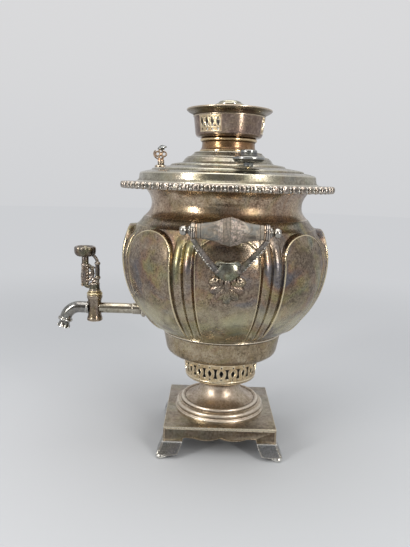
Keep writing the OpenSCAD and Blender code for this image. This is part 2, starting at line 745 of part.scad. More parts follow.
// Outline of its underside, from the seat inwards
lid_under = [[lid_r - lid_t, 0], [lid_r - lid_t, 5], [lid_step1_r - 0.9, 11.5],
    [lid_step1_r - 1.7, ring1_z - 1.9], [lid_step2_r - 0.4, ring2_z - riser - 1.3],
    [lid_step2_r - 1.5, ring2_z - 1.5], [lid_step3_r + 0.6, ring3_z - riser - 1.6],
    [lid_step3_r - 1.5, ring3_z - 1.5], [lid_dome_r - 0.8, dome_z - 1.6], [lid_dome_r - 3.4, dome_z + 0.8],
    [lid_dome_r - 4.6, dome_z + 3.6], [lid_dome_r - 7.5, dome_z + 5.3], [lid_land_r + 4.7, lid_h - 3.4],
    [lid_land_r, lid_h - lid_t]];

lid_hole_r = tube_top_r + 1.8;

module lid() {
    color(LID_SILVER) difference() {
        translate([0, 0, lid_z]) rotate_extrude($fn = 96)
            polygon(concat(lid_line, [[lid_hole_r, lid_h], [lid_hole_r, lid_h - lid_t]],
                reversed(lid_under)));
        rotate([0, 0, -90 + lid_turn]) translate([vent_out, 0, lid_z]) cylinder(h = lid_h, d = vent_bore_d);
        ring_of(2, lid_turn) translate([knob_out, 0, lid_z]) cylinder(h = lid_h, r = rivet_r);
    }
}

// Ring soldered into the foot of the lid, with the skirt that centres it in the mouth
module lid_skirt() {
    skirt_r = mouth_r - body_t - rim_lip - 1;
    skirt_h = 6;
    ring_r = lid_r - lid_t;
    color(LID_SILVER) translate([0, 0, lid_z]) rotate_extrude($fn = 96)
        polygon([[skirt_r - lid_t, -skirt_h], [skirt_r, -skirt_h], [skirt_r, 0], [ring_r, 0],
            [ring_r, lid_t], [skirt_r - lid_t, lid_t]]);
}

// Height of the lid's outside at radius r above its seat
function lid_top(r) = lookup(-r, [for (q = lid_line) [-q.x, q.y]]);

// Height of the underside of a knob above the lid's seat, clear of the top step
knob_base = ring3_z + 1.4;

// A stepped metal knob, standing on the lid on a short stem
module lid_knob() {
    stem_r = 6;
    low = lid_top(knob_out) - lid_t;
    base = knob_base;
    top = lid_top(knob_out) + knob_h;
    drum_r = knob_r / 2;
    lip = 3.4;
    body = top - 8 - lip - base;
    outline = concat([[rivet_r, low], [stem_r, low], [stem_r, base], [knob_r - 1.8, base]],
        [[knob_r - 1.8, base + body - 0.6], [knob_r, base + body]],
        [[knob_r, base + body + lip - 0.8], [knob_r - 0.8, base + body + lip]],
        curve([knob_r - 0.8, base + body + lip], [drum_r + 3, base + body + lip],
            [drum_r, base + body + lip + 0.5], [drum_r, base + body + lip + 2.5], 4),
        arc(drum_r - 2, top - 2, 2, 0, 90, 4), [[0, top], [0, base + 2], [rivet_r, base + 2]]);
    color(LID_SILVER) difference() {
        rotate([0, 0, lid_turn]) translate([knob_out, 0, lid_z]) turned(outline);
        translate([0, 0, lid_z]) lid_core();
    }
}

// Everything below the outside of the lid, to fit its fittings against it
module lid_core() {
    turned(concat([[0, 0]], lid_line, [[0, lid_h]]));
}

module lid_knob_right() { lid_knob(); }
module lid_knob_left() { rotate([0, 0, 180]) lid_knob(); }

// Screws that hold the knobs from under the lid
module lid_knob_screws() {
    head_r = 4;
    base = knob_base;
    under = lid_top(knob_out + head_r) - 2 * lid_t - 0.6;
    color(BRASS) ring_of(2, lid_turn) translate([knob_out, 0, lid_z]) union() {
        translate([0, 0, under]) cylinder(h = base + 2 - under, r = rivet_r);
        translate([0, 0, under - 2.4]) cylinder(h = 2.4, r = head_r);
    }
}

// ---------------------------------------------------------------- steam vent
vent_tube_h = 6.4;
vent_foot_z = lid_z + lid_top(vent_out);

module vent_place() {
    rotate([0, 0, -90 + lid_turn]) translate([vent_out, 0, 0]) children();
}

module vent_seat() {
    foot_r = vent_r + 3.6;
    color(LID_SILVER) difference() {
        vent_place() difference() {
            translate([0, 0, vent_foot_z - 3])
                turned(concat([[vent_bore_d / 2, 0], [foot_r, 0], [foot_r, 4.4]],
                    curve([foot_r, 4.4], [foot_r - 2, 5], [vent_r, 5], [vent_r, 7], 4),
                    [[vent_r, 3 + vent_tube_h], [vent_bore_d / 2, 3 + vent_tube_h]]));
        }
        translate([0, 0, lid_z]) lid_core();
    }
}

// The turning key of the vent: a stem in the bore, a pierced four-lobed rosette and a small cap
module vent_key() {
    stem_r = vent_bore_d / 2 - plug_fit;
    thick = 3;
    lobe = rosette_d * 0.29;
    seat = vent_foot_z + vent_tube_h;
    middle = seat + 2 + rosette_d / 2;
    top = middle + rosette_d / 2;
    color(BRIGHT) vent_place() union() {
        translate([0, 0, vent_foot_z + 1]) cylinder(h = vent_tube_h - 1 + cut, r = stem_r);
        translate([0, 0, seat]) cylinder(h = 3.5, r = vent_r);
        translate([0, thick / 2, middle]) rotate([90, 0, 0]) linear_extrude(thick) difference() {
            ring_of(4) translate([rosette_d / 2 - lobe, 0]) circle(lobe);
            ring_of(4) translate([rosette_d / 2 - lobe, 0]) circle(lobe * 0.45);
        }
        translate([0, 0, top - 1]) turned(concat([[0, 0], [2, 0], [2, 1.4], [5, 1.8]],
            arc(0, 2.4, 5, 0, 90, 8)));
    }
}

// ---------------------------------------------------------------- crown
module crown_neck() {
    ring = 2.4;
    outside = concat([[crown_foot_r, 0], [crown_foot_r, 1]],
        curve([crown_foot_r, 1], [crown_neck_r, 3], [crown_neck_r, 6],
            [crown_neck_r, crown_neck_h - 2 * ring], 7),
        arc(crown_neck_r, crown_neck_h - ring, ring, -90, 90, 8));
    inner_r = crown_neck_r - crown_t;
    color(COPPER) translate([0, 0, crown_z])
        turned(concat(outside, [[inner_r, crown_neck_h], [inner_r, 5], [crown_foot_r - crown_t, 1.5],
            [crown_foot_r - crown_t, 0]]));
}

cup_h = crown_h - crown_neck_h;
side_foot = [cup_r - 2.6, 5];
side_top = [cup_r, cup_h - 9];

// Outline of the crown's cup: floor, side and flared brim
cup_line = concat([[smoke_r, 0], [crown_neck_r + 2, 0]],
    curve([crown_neck_r + 2, 0], [cup_r - 5, 0], [cup_r - 3, 2], side_foot, 6), [side_top],
    curve(side_top, [cup_r + 0.4, cup_h - 6], [brim_r - 3, cup_h - 5], [brim_r, cup_h - 1.6], 7),
    [[brim_r, cup_h]]);

window_from = 5.5;
window_angle = -35;
window_pitch = 120;

// Window outline on the unrolled side of the crown
module window_outline(grow) {
    square([window_w + 2 * grow, window_h + 2 * grow], center = true);
}

module window_blocks(grow) {
    ring_of(3, window_angle)
        stand_out(cup_r * 0.7, brim_r + cut, cup_z + window_from + window_h / 2) window_outline(grow);
}

module crown_cup() {
    color(COPPER) difference() {
        translate([0, 0, cup_z]) spun_sheet(cup_line, crown_t);
        window_blocks(0);
    }
}

// Pierced plates set in the windows of the crown
module crown_grilles() {
    bars = 4;
    slot_pitch = window_w / bars;
    slot_w = slot_pitch * 0.5;
    color(BRIGHT) difference() {
        intersection() {
            translate([0, 0, cup_z]) spun_sheet(cup_line, crown_t);
            window_blocks(0);
        }
        ring_of(3, window_angle)
            stand_out(cup_r * 0.7, brim_r + 2 * cut, cup_z + window_from + window_h / 2)
                for (i = [0:bars - 1]) translate([(i + 0.5 - bars / 2) * slot_pitch, 0]) {
                    translate([0, window_h * 0.08]) pointed_oval(slot_w, window_h * 0.62);
                    translate([0, -window_h * 0.37]) circle(slot_w * 0.32);
                    if (i > 0)
                        translate([-slot_pitch / 2, -window_h * 0.16]) circle(slot_w * 0.3);
                }
    }
}

// ---------------------------------------------------------------- chimney cap
cap_disc_h = 9;
cap_seat_z = cup_z + crown_t;
button_h = 8;

module chimney_cap() {
    plug_r = smoke_r - 1.2;
    outline = concat([[plug_r - 2, -3], [plug_r, -3], [plug_r, 0], [cap_r, 0], [cap_r, 1.6]],
        curve([cap_r, 1.6], [cap_r - 8, 2.5], [10, 4], [8, cap_disc_h], 8),
        [[rivet_r, cap_disc_h], [rivet_r, 4], [plug_r - 2, 1]]);
    color(IRON) translate([0, 0, cap_seat_z]) turned(outline);
}

module cap_button() {
    low = cap_seat_z + cap_disc_h;
    top = brim_z + button_up;
    neck = 5;
    outline = concat([[0, 4 - cap_disc_h], [rivet_r, 4 - cap_disc_h], [rivet_r, 0], [8, 0], [8, 1.5]],
        curve([8, 1.5], [neck, 3], [neck, 6], [neck, 9], 5),
        [[neck, top - low - button_h - 5], [button_r - 3, top - low - button_h],
            [button_r, top - low - button_h + 1]],
        [[button_r, top - low - 4.4], [button_r - 3.4, top - low - 4]],
        curve([button_r - 3.4, top - low - 4], [button_r - 4, top - low - 1], [button_r - 8, top - low],
            [0, top - low], 6));
    color(LID_SILVER) translate([0, 0, low]) turned(outline);
}

// ---------------------------------------------------------------- handles
eye_y = grip_len / 2 + eye_t / 2 + 1;
arm_foot = [belly_r + 6, 9, arm_foot_z];
arm_eye = [grip_out - 2, eye_y + 0.7, grip_z - eye_r + 1];
arm_end_r = eye_t / 2 - 0.3;
shield_in = 14;
shield_root = belly_r - shield_in;

// Seven broad leaves round a heart, the longest pointing down
module palmette() {
    for (a = [-180, -146, 146, -114, 114, -84, 84])
        rotate(a) translate([0, leaf_len * 0.42]) pointed_oval(leaf_len * 0.46, leaf_len * 0.84);
    circle(leaf_len * 0.4);
}

// The yoke that spreads from the shield into the arms, with a hollow between them
module yoke_outline() {
    top_w = arm_foot.y + 4.5;
    difference() {
        polygon([[-top_w, 4], [-top_w + 2, 13], [top_w - 2, 13], [top_w, 4], [8, -12], [-8, -12]]);
        translate([0, 22]) circle(12);
    }
}

// The middle of the bracket, before it is fitted to the wall
module bracket_heart() {
    translate([0, 0, shield_z]) shield();
    intersection() {
        stand_out(shield_root, arm_foot.x + arm_r, arm_foot_z) yoke_outline();
        translate([shield_root, 0, arm_foot_z]) rotate([0, 90, 0])
            turned([[0, 0], [18, 0], [18, arm_foot.x - shield_root], [7, arm_foot.x + arm_r - shield_root],
                [0, arm_foot.x + arm_r - shield_root]]);
    }
}

module handle_bracket() {
    color(SILVER) union() {
        for (s = [-1, 1]) {
            difference() {
                translate([grip_out, s * eye_y, grip_z])
                    rotate([90, 0, 0]) cylinder(h = eye_t, r = eye_r, center = true);
                translate([grip_out, s * eye_y, grip_z])
                    rotate([90, 0, 0]) cylinder(h = eye_t + 2 * cut, r = rod_r + 0.1, center = true);
            }
            foot = [arm_foot.x, s * arm_foot.y, arm_foot.z];
            bar(foot, [arm_eye.x, s * arm_eye.y, arm_eye.z], arm_r, arm_end_r);
            translate(foot) sphere(arm_r * 1.15);
        }
        difference() {
            bracket_heart();
            translate([0, 0, wall_z]) wall_patch(0, flute_full, shoulder_up - flute_fade, shield_in);
            for (z = rivet_zs) translate([belly_r - rivet_reach, 0, z])
                rotate([0, 90, 0]) cylinder(h = rivet_reach + rivet_grip, r = rivet_r);
        }
    }
}

// The leaf shield, with a domed boss on its middle
module shield() {
    plate = 17;
    crown = 21;
    boss_r = leaf_len * 0.5;
    stand_out(shield_root, shield_root + plate, 0) palmette();
    translate([shield_root, 0, 0]) rotate([0, 90, 0])
        turned(concat([[0, 0], [boss_r, 0], [boss_r, plate + 1]],
            curve([boss_r, plate + 1], [boss_r - 1, crown - 0.4], [boss_r * 0.5, crown], [0, crown], 5)));
}

module handle_grip() {
    half = grip_len / 2;
    outline = concat([[rod_r + 0.1, -half], [grip_end_r, -half], [grip_end_r + 0.6, -half + 6]],
        curve([grip_end_r + 0.6, -half + 6], [grip_end_r + 1.4, -half + 16], [grip_r - 4, -10],
            [grip_r, 0], 8),
        reversed([for (q = curve([grip_end_r + 0.6, -half + 6], [grip_end_r + 1.4, -half + 16],
            [grip_r - 4, -10], [grip_r, 0], 8)) [q.x, -q.y]]),
        [[grip_end_r + 0.6, half - 6], [grip_end_r, half], [rod_r + 0.1, half]]);
    color(HORN) translate([grip_out, 0, grip_z]) rotate([90, 0, 0]) turned(outline);
}

nut_y = eye_y + eye_t / 2;

module handle_rod() {
    color(IRON) translate([grip_out, 0, grip_z]) rotate([90, 0, 0])
        cylinder(h = 2 * nut_y + nut_len, r = rod_r, center = true);
}

module handle_washers() {
    color(COPPER) for (s = [-1, 1])
        translate([grip_out, s * (grip_len / 2 + 0.5), grip_z]) rotate([90, 0, 0]) difference() {
            cylinder(h = 1, r = grip_end_r + 0.1, center = true);
            cylinder(h = 2, r = rod_r + 0.1, center = true);
        }
}

// Domed end nuts on the rod
module handle_nuts() {
    waist = nut_r * 0.66;
    outline = concat([[rod_r, 0], [nut_r, 0], [nut_r, 1.4], [waist, 2.2], [waist, 3.2], [nut_r, 4]],
        curve([nut_r, 4], [nut_r, nut_len * 0.7], [nut_r * 0.7, nut_len], [0, nut_len], 6),
        [[0, nut_len / 2], [rod_r, nut_len / 2]]);
    color(BRIGHT) for (s = [-1, 1])
        translate([grip_out, s * nut_y, grip_z]) rotate([-s * 90, 0, 0]) turned(outline);
}

// Rivets through wall and shield, with their heads inside the vessel
module handle_rivets() {
    head_r = 4;
    color(IRON) for (z = rivet_zs)
        let (inside = radius_at(panel_line, z - wall_z) - body_t - 1.8) union() {
            translate([inside, 0, z]) rotate([0, 90, 0])
                cylinder(h = belly_r + rivet_grip - inside, r = rivet_r);
            translate([inside - 2.2, 0, z]) rotate([0, 90, 0]) cylinder(h = 2.2, r = head_r);
        }
}

module handle_bracket_right() { handle_bracket(); }
module handle_grip_right() { handle_grip(); }
module handle_rod_right() { handle_rod(); }
module handle_washers_right() { handle_washers(); }
module handle_nuts_right() { handle_nuts(); }
module handle_rivets_right() { handle_rivets(); }
module handle_bracket_left() { mirror([1, 0, 0]) handle_bracket(); }
module handle_grip_left() { mirror([1, 0, 0]) handle_grip(); }
module handle_rod_left() { mirror([1, 0, 0]) handle_rod(); }
module handle_washers_left() { mirror([1, 0, 0]) handle_washers(); }
module handle_nuts_left() { mirror([1, 0, 0]) handle_nuts(); }
module handle_rivets_left() { mirror([1, 0, 0]) handle_rivets(); }

// ---------------------------------------------------------------- tap
barrel_z = tap_z - barrel_h / 2;
collar_z = barrel_z + barrel_h;
plug_r = plug_d / 2;
bore_r = plug_r + plug_fit;
port_r = waterway_d / 2;
stem_r = plug_r * 0.7;
key_socket_h = 6;

// The nut and its washer sit in a recess in the lower end of the barrel
tap_nut_h = 4.5;
washer_h = 1.6;
washer_r = barrel_r - 2.3;
recess_r = washer_r + 0.3;
recess_h = washer_h + tap_nut_h + 0.5;
recess_z = barrel_z + recess_h;
tail_r = plug_r * 0.5;

// Places its children at the plug axis, at height z
module at_plug(z) {
    translate([0, -tap_out, z]) children();
}

// Bushing through the wall, with a collar fitted to the outside
module tap_boss() {
    collar_r = 12.5;
    boss_in = tap_inside - 2;
    boss_out = tap_inside;
    inside_y = -tap_at_wall + tap_inside;
    patch_top = 60;
    color(BRASS) difference() {
        union() {
            difference() {
                translate([0, -tap_at_wall + boss_in, tap_z]) rotate([90, 0, 0])
                    turned(concat([[0, 0], [collar_r, 0], [collar_r, boss_in + boss_out - 4]],
                        arc(pipe_r + 2, boss_in + boss_out - 2, 2, 0, 90, 4), [[0, boss_in + boss_out]]));
                translate([0, 0, wall_z]) wall_patch(-90, 0, patch_top, 2 * tap_inside);
            }
            translate([0, inside_y, tap_z]) rotate([90, 0, 0])
                cylinder(h = tap_inside + boss_out - 1, d = tap_hole_d);
        }
        translate([0, inside_y + cut, tap_z]) rotate([90, 0, 0])
            cylinder(h = 4 * tap_inside, r = pipe_r);
    }
}

// Perforated cap over the inner end of the tap
module tap_strainer() {
    holes = 8;
    mouth_d = 5;
    inner_y = -tap_at_wall + tap_inside;
    r = tap_hole_d / 2;
    color(BRASS) translate([0, inner_y, tap_z]) rotate([-90, 0, 0]) difference() {
        turned(concat([[r, 0], [r, 5]], arc(r - 3, 5, 3, 0, 90, 5), [[0, 8], [0, 7]],
            [[r - 3, 7], [r - 1.2, 5], [r - 1.2, 0]]));
        cylinder(h = 10, d = mouth_d);
        ring_of(holes) translate([r * 0.62, 0, 0]) cylinder(h = 10, d = 2.4);
    }
}

// Barrel of the tap as a solid of revolution
module barrel_solid() {
    waist = barrel_r - 1.7;
    low = barrel_h * 0.12;
    at_plug(barrel_z) turned(concat([[0, 0], [barrel_r, 0], [barrel_r, low], [barrel_r - 0.8, low + 1.2]],
        curve([barrel_r - 0.8, low + 1.2], [waist, low + 4], [waist, barrel_h / 2 - 4],
            [waist, barrel_h / 2], 6),
        curve([waist, barrel_h / 2], [waist, barrel_h / 2 + 4], [waist, barrel_h - low - 4],
            [barrel_r - 0.8, barrel_h - low - 1.2], 6),
        [[barrel_r, barrel_h - low], [barrel_r, barrel_h], [0, barrel_h]]));
}

// Pipe and barrel of the tap, cast in one
module tap_body() {
    pipe_from = -tap_at_wall + tap_inside;
    color(BRIGHT) difference() {
        union() {
            barrel_solid();
            translate([0, pipe_from, tap_z]) rotate([90, 0, 0])
                cylinder(h = tap_out + pipe_from, r = pipe_r);
        }
        at_plug(barrel_z - cut) cylinder(h = barrel_h + 2 * cut, r = bore_r);
        at_plug(barrel_z - cut) cylinder(h = recess_h + cut, r = recess_r);
        translate([0, pipe_from + cut, tap_z]) rotate([90, 0, 0])
            cylinder(h = tap_out + pipe_from + barrel_r + 2 * cut, r = port_r);
    }
}

// Step where two lengths of the spout are brazed together
joint = 0.4;

// The spout's end: a banded nozzle with a flared, notched lip, along +Z
module nozzle() {
    roll = 1.8;
    roll_reach = 70;
    band = spout_r + roll;
    difference() {
        turned(concat([[port_r + joint, -joint], [spout_r + joint, -joint], [spout_r + joint, 1]],
            arc(spout_r + joint, 1 + roll, roll, -roll_reach, roll_reach, 6),
            [[spout_r + joint, 4.8], [spout_r - 0.6, 6.5], [spout_r - 0.4, spout_tail - 4],
                [band - 0.6, spout_tail - 0.8], [band - 1, spout_tail], [port_r + joint, spout_tail]]));
        if (lip_n > 0) ring_of(lip_n)
            translate([port_r + 1.4, -0.7, spout_tail - 1.6]) cube([spout_r, 1.4, 4]);
    }
}

// Cross-section of the spout pipe, wider by grow on both sides of its wall
module spout_ring(grow) {
    difference() {
        circle(spout_r + grow);
        circle(port_r + grow);
    }
}

// The spout bends down from the barrel and ends in a notched lip
module tap_spout() {
    bend_y = -tap_out - spout_run;
    color(BRIGHT) union() {
        difference() {
            translate([0, -tap_out, tap_z]) rotate([90, 0, 0])
                linear_extrude(spout_run + joint) spout_ring(joint);
            barrel_solid();
        }
        translate([0, bend_y, tap_z - spout_bend]) rotate([0, -90, 0]) rotate([0, 0, -spout_drop])
            rotate_extrude(angle = spout_drop) translate([spout_bend, 0]) spout_ring(0);
        translate([0, bend_y, tap_z - spout_bend]) rotate([spout_drop, 0, 0])
            translate([0, 0, spout_bend]) rotate([90, 0, 0]) nozzle();
    }
}

module tap_collar() {
    ring = [[stem_r + 0.3, 0], [barrel_r - 0.4, 0], [barrel_r, 1], [barrel_r, collar_h - 1.4],
        [barrel_r - 1.4, collar_h], [stem_r + 0.3, collar_h]];
    color(BRASS) at_plug(collar_z) turned(ring);
}

// Plug with its cross port, the stem for the key above and the nut's thread below
module tap_plug() {
    color(BRASS) difference() {
        at_plug(0) union() {
            translate([0, 0, recess_z]) cylinder(h = barrel_h - recess_h, r = plug_r);
            translate([0, 0, collar_z]) cylinder(h = collar_h + key_socket_h, r = stem_r);
            translate([0, 0, barrel_z]) cylinder(h = recess_h, r = tail_r);
        }
        at_plug(tap_z) rotate([0, 90, 0]) cylinder(h = 2 * plug_d, r = port_r, center = true);
    }
}

module tap_washer() {
    color(BRASS) at_plug(recess_z - washer_h) difference() {
        cylinder(h = washer_h, r = washer_r);
        translate([0, 0, -cut]) cylinder(h = washer_h + 2 * cut, r = tail_r);
    }
}

module tap_nut() {
    color(BRASS) at_plug(recess_z - washer_h - tap_nut_h) difference() {
        cylinder(h = tap_nut_h, r = plug_r + 0.6, $fn = 6);
        translate([0, 0, -cut]) cylinder(h = tap_nut_h + 2 * cut, r = tail_r, $fn = 48);
    }
}

// Openwork of the key in its own plane: [distance towards the spout, height above the collar]
module key_openwork() {
    foot_y = 11;
    head_y = key_h - key_head_h;
    mid = (foot_y + head_y) / 2;
    ring_r = (head_y - foot_y) / 4.4;
    wire = 3.2;
    post_x = -7;
    knot = 5.6;
    for (s = [0, 1])
        translate([ring_r * 0.9, foot_y + ring_r + s * ring_r * 1.9]) difference() {
            circle(ring_r);
            circle(ring_r - wire);
        }
    translate([post_x, foot_y - 1]) square([wire, head_y - foot_y - 2]);
    for (y = [foot_y + 5, mid + 4]) translate([post_x - 1, y]) square([knot, 2]);
    translate([post_x, head_y - 5]) square([key_lean - post_x + 1, wire]);
    translate([key_lean - knot / 2, head_y - 5]) square([knot, knot]);
    translate([post_x, foot_y - 3]) square([2 * ring_r + wire, 4]);
}

module tap_key() {
    base = collar_z + collar_h;
    head_z = base + key_h - key_head_h;
    color(BRIGHT) at_plug(0) difference() {
        union() {
            translate([0, 0, base]) turned([[0, 0], [stem_r + 3, 0], [stem_r + 3, 1.5], [stem_r + 1.4, 3],
                [stem_r + 1.4, 7], [stem_r + 2.2, 9], [0, 11]]);
            translate([key_t / 2, 0, base]) rotate([90, 0, -90]) linear_extrude(key_t) key_openwork();
            translate([0, -key_lean, head_z]) turned(concat([[0, 0], [key_head_r - 5, 0]],
                curve([key_head_r - 5, 0], [key_head_r, 1], [key_head_r, 3],
                    [key_head_r, key_head_h * 0.45], 5),
                [[key_head_r, key_head_h - 3], [key_head_r - 1.6, key_head_h - 1.2],
                    [key_head_r - 3, key_head_h - 1.2], [key_head_r - 5, key_head_h - 3],
                    [4, key_head_h - 1], [0, key_head_h]]));
        }
        translate([0, 0, base - cut]) cylinder(h = key_socket_h + cut, r = stem_r);
    }
}

plinth();
foot_front_right();
foot_front_left();
foot_back_right();
foot_back_left();
pedestal();
gallery();
ash_pan();
bowl();
body_wall();
throat();
rim_plate();
bead_border();
fire_tube();
grate();
lid();
lid_skirt();
lid_knob_right();
lid_knob_left();
lid_knob_screws();
vent_seat();
vent_key();
crown_neck();
crown_cup();
crown_grilles();
chimney_cap();
cap_button();
handle_bracket_right();
handle_grip_right();
handle_rod_right();
handle_washers_right();
handle_nuts_right();
handle_rivets_right();
handle_bracket_left();
handle_grip_left();
handle_rod_left();
handle_washers_left();
handle_nuts_left();
handle_rivets_left();
tap_boss();
tap_strainer();
tap_body();
tap_spout();
tap_collar();
tap_plug();
tap_key();
tap_washer();
tap_nut();
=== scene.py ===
"""Dresses the samovar: a worn, silver-plated charcoal urn with its tap, lid, crown and handles.

Lengths are in millimetres until Workshop.piece puts a mesh into metres. The studio is in metres.
"""

import logging
from bisect import bisect_right
from dataclasses import dataclass, field
from enum import Enum
from functools import partial
from math import asin, atan2, copysign, cos, degrees, exp, hypot, pi, radians, sin, sqrt
from typing import Callable, Iterable, Sequence

import bmesh
import bpy
from mathutils import Matrix, Vector


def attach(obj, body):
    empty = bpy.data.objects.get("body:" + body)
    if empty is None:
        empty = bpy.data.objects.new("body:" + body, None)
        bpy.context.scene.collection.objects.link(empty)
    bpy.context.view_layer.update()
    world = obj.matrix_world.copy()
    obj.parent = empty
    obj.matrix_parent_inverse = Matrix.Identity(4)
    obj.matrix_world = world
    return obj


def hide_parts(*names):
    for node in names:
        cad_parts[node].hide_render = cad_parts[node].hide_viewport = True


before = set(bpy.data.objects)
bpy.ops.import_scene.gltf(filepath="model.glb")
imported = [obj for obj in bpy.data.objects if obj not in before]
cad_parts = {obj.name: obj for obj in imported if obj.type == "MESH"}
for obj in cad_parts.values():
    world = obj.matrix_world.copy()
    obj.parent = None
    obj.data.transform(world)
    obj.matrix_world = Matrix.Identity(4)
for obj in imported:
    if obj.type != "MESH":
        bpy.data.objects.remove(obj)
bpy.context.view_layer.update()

LOG = logging.getLogger("samovar")
MM = 0.001
EDGE_LAYER = "edge_curve"

Colour = tuple[float, float, float]
Point = tuple[float, float]
Outline = list[Point]
Place = tuple[float, float, float]
Mesh = bmesh.types.BMesh
Socket = bpy.types.NodeSocket

# Colours of the tarnish: the dirt of the freckles and of the grooves, a painted reflection of a bright tray low
# on the body, and the thin films.
SOOT: Colour = (0.035, 0.028, 0.022)
GRIME: Colour = (0.06, 0.045, 0.03)
TRAY_REFLECTION: Colour = (0.62, 0.57, 0.38)
FILMS = ((0.36, (0.13, 0.15, 0.20)), (0.45, (0.34, 0.19, 0.12)), (0.51, (0.42, 0.33, 0.13)),
         (0.58, (0.30, 0.31, 0.14)), (0.66, (0.19, 0.26, 0.22)))

# Colours of the room and how far its floor is seen before it fades.
HAZE: Colour = (0.615, 0.625, 0.645)
FADE_FROM, FADE_TO = 0.35, 1.5
LAMPS = (("window_left", -50, 20, (0.20, 0.95), 12.0), ("window_right", 37, 20, (0.16, 1.05), 12.0),
         ("ceiling", 10, 84, (1.6, 1.6), 16.0))


# --- outlines
def arc(centre: Point, radius: float, start: float, end: float, steps: int = 6) -> Outline:
    """Points along an arc.

    Args:
        centre: centre of the arc.
        radius: its radius.
        start: angle of the first point, in degrees.
        end: angle of the last point.
        steps: number of stretches.

    Returns:
        The points from start to end.
    """
    angles = [radians(start + (end - start) * i / steps) for i in range(steps + 1)]
    return [(centre[0] + radius * cos(a), centre[1] + radius * sin(a)) for a in angles]


def cubic(a: Point, b: Point, c: Point, d: Point, steps: int = 12) -> Outline:
    """Points along a cubic curve, without the first.

    Args:
        a: start of the curve.
        b: first handle.
        c: second handle.
        d: end of the curve.
        steps: number of stretches.

    Returns:
        The points after a, up to d.
    """
    points = []
    for i in range(1, steps + 1):
        t = i / steps
        s = 1 - t
        weights = (s ** 3, 3 * s * s * t, 3 * s * t * t, t ** 3)
        points.append(tuple(sum(w * p[k] for w, p in zip(weights, (a, b, c, d))) for k in range(2)))
    return points


def softened(outline: Outline, radius: float, closed: bool = True, steps: int = 3) -> Outline:
    """Rounds every corner of an outline that turns by more than 20 degrees.

    Args:
        outline: the points, in order.
        radius: how far the rounding reaches along the sides of a corner.
        closed: whether the last point joins the first.
        steps: number of stretches of each rounding.

    Returns:
        The rounded outline.
    """
    count = len(outline)
    result: Outline = []
    for i, here in enumerate(outline):
        if not closed and i in (0, count - 1):
            result.append(here)
            continue
        before = Vector(outline[i - 1]) - Vector(here)
        after = Vector(outline[(i + 1) % count]) - Vector(here)
        if before.length < 1e-6 or after.length < 1e-6 or before.angle(-after) < radians(20):
            result.append(here)
            continue
        first = Vector(here) + before.normalized() * min(radius, 0.45 * before.length)
        last = Vector(here) + after.normalized() * min(radius, 0.45 * after.length)
        for k in range(steps + 1):
            t = k / steps
            point = first * (1 - t) ** 2 + Vector(here) * 2 * t * (1 - t) + last * t * t
            result.append((point.x, point.y))
    return result


def eased(t: float) -> float:
    """Smooth step from 0 to 1 for t from 0 to 1."""
    u = min(max(t, 0), 1)
    return u * u * (3 - 2 * u)


def pointed_oval(width: float, height: float, centre: Point = (0, 0), steps: int = 8) -> Outline:
    """Outline of a pointed oval that stands upright.

    Args:
        width: its greatest width.
        height: its height from point to point.
        centre: where it sits.
        steps: number of stretches of each side.

    Returns:
        The closed outline.
    """
    right = [(width / 2 * cos(pi / 2 * t), height / 2 * t) for t in [2 * i / steps - 1 for i in range(steps)]]
    points = right + [(-x, -y) for x, y in right]
    return [(x + centre[0], y + centre[1]) for x, y in points]


def circle(radius: float, centre: Point = (0, 0), steps: int = 12) -> Outline:
    """Closed outline of a circle."""
    return arc(centre, radius, 0, 360, steps)[:-1]


def lofted_radius(line: Outline, height: float) -> float:
    """Radius of a rising outline at a height, between its points.

    Args:
        line: radius and height of each point, rising.
        height: the height asked for.

    Returns:
        The radius.
    """
    heights = [z for _, z in line]
    i = min(max(bisect_right(heights, height), 1), len(line) - 1)
    (r0, z0), (r1, z1) = line[i - 1], line[i]
    share = 0 if z1 == z0 else min(max((height - z0) / (z1 - z0), 0), 1)
    return r0 + (r1 - r0) * share


def raised(outline: Outline, height: float) -> Outline:
    """The same outline, higher up."""
    return [(r, height + z) for r, z in outline]


# --- meshes
def cleaned(bm: Mesh, out: Callable[[Vector], Vector] | None = None) -> Mesh:
    """Merges vertices that coincide and turns the faces outwards.

    Args:
        bm: the mesh.
        out: gives the way that faces look at a place, for an open sheet.

    Returns:
        The same mesh.
    """
    bmesh.ops.remove_doubles(bm, verts=bm.verts, dist=1e-3)
    bmesh.ops.recalc_face_normals(bm, faces=bm.faces)
    if out and sum(f.normal.dot(out(f.calc_center_median())) for f in bm.faces) < 0:
        bmesh.ops.reverse_faces(bm, faces=bm.faces)
    return bm


def spun(outline: Outline, steps: int = 96, closed: bool = True) -> Mesh:
    """Solid of revolution about Z.

    Args:
        outline: radius and height of each point.
        steps: number of faces round the axis.
        closed: whether the last point joins the first. An open outline runs from axis to axis.

    Returns:
        The mesh.
    """
    bm = bmesh.new()
    verts = [bm.verts.new((r, 0, z)) for r, z in outline]
    following = verts[1:] + verts[:1] if closed else verts[1:]
    edges = [bm.edges.new(pair) for pair in zip(verts, following)]
    bmesh.ops.spin(bm, geom=verts + edges, cent=(0, 0, 0), axis=(0, 0, 1), dvec=(0, 0, 0), angle=2 * pi,
                   steps=steps, use_merge=True)
    return cleaned(bm)


def turned_ring(outline: Outline, edge: float, steps: int) -> Mesh:
    """Ring about Z from a closed outline, with rounded edges."""
    return spun(softened(outline, edge), steps)


def turned_solid(outline: Outline, edge: float, steps: int) -> Mesh:
    """Solid about Z from an outline that runs from axis to axis, with rounded edges."""
    return spun(softened(outline, edge, closed=False), steps, closed=False)


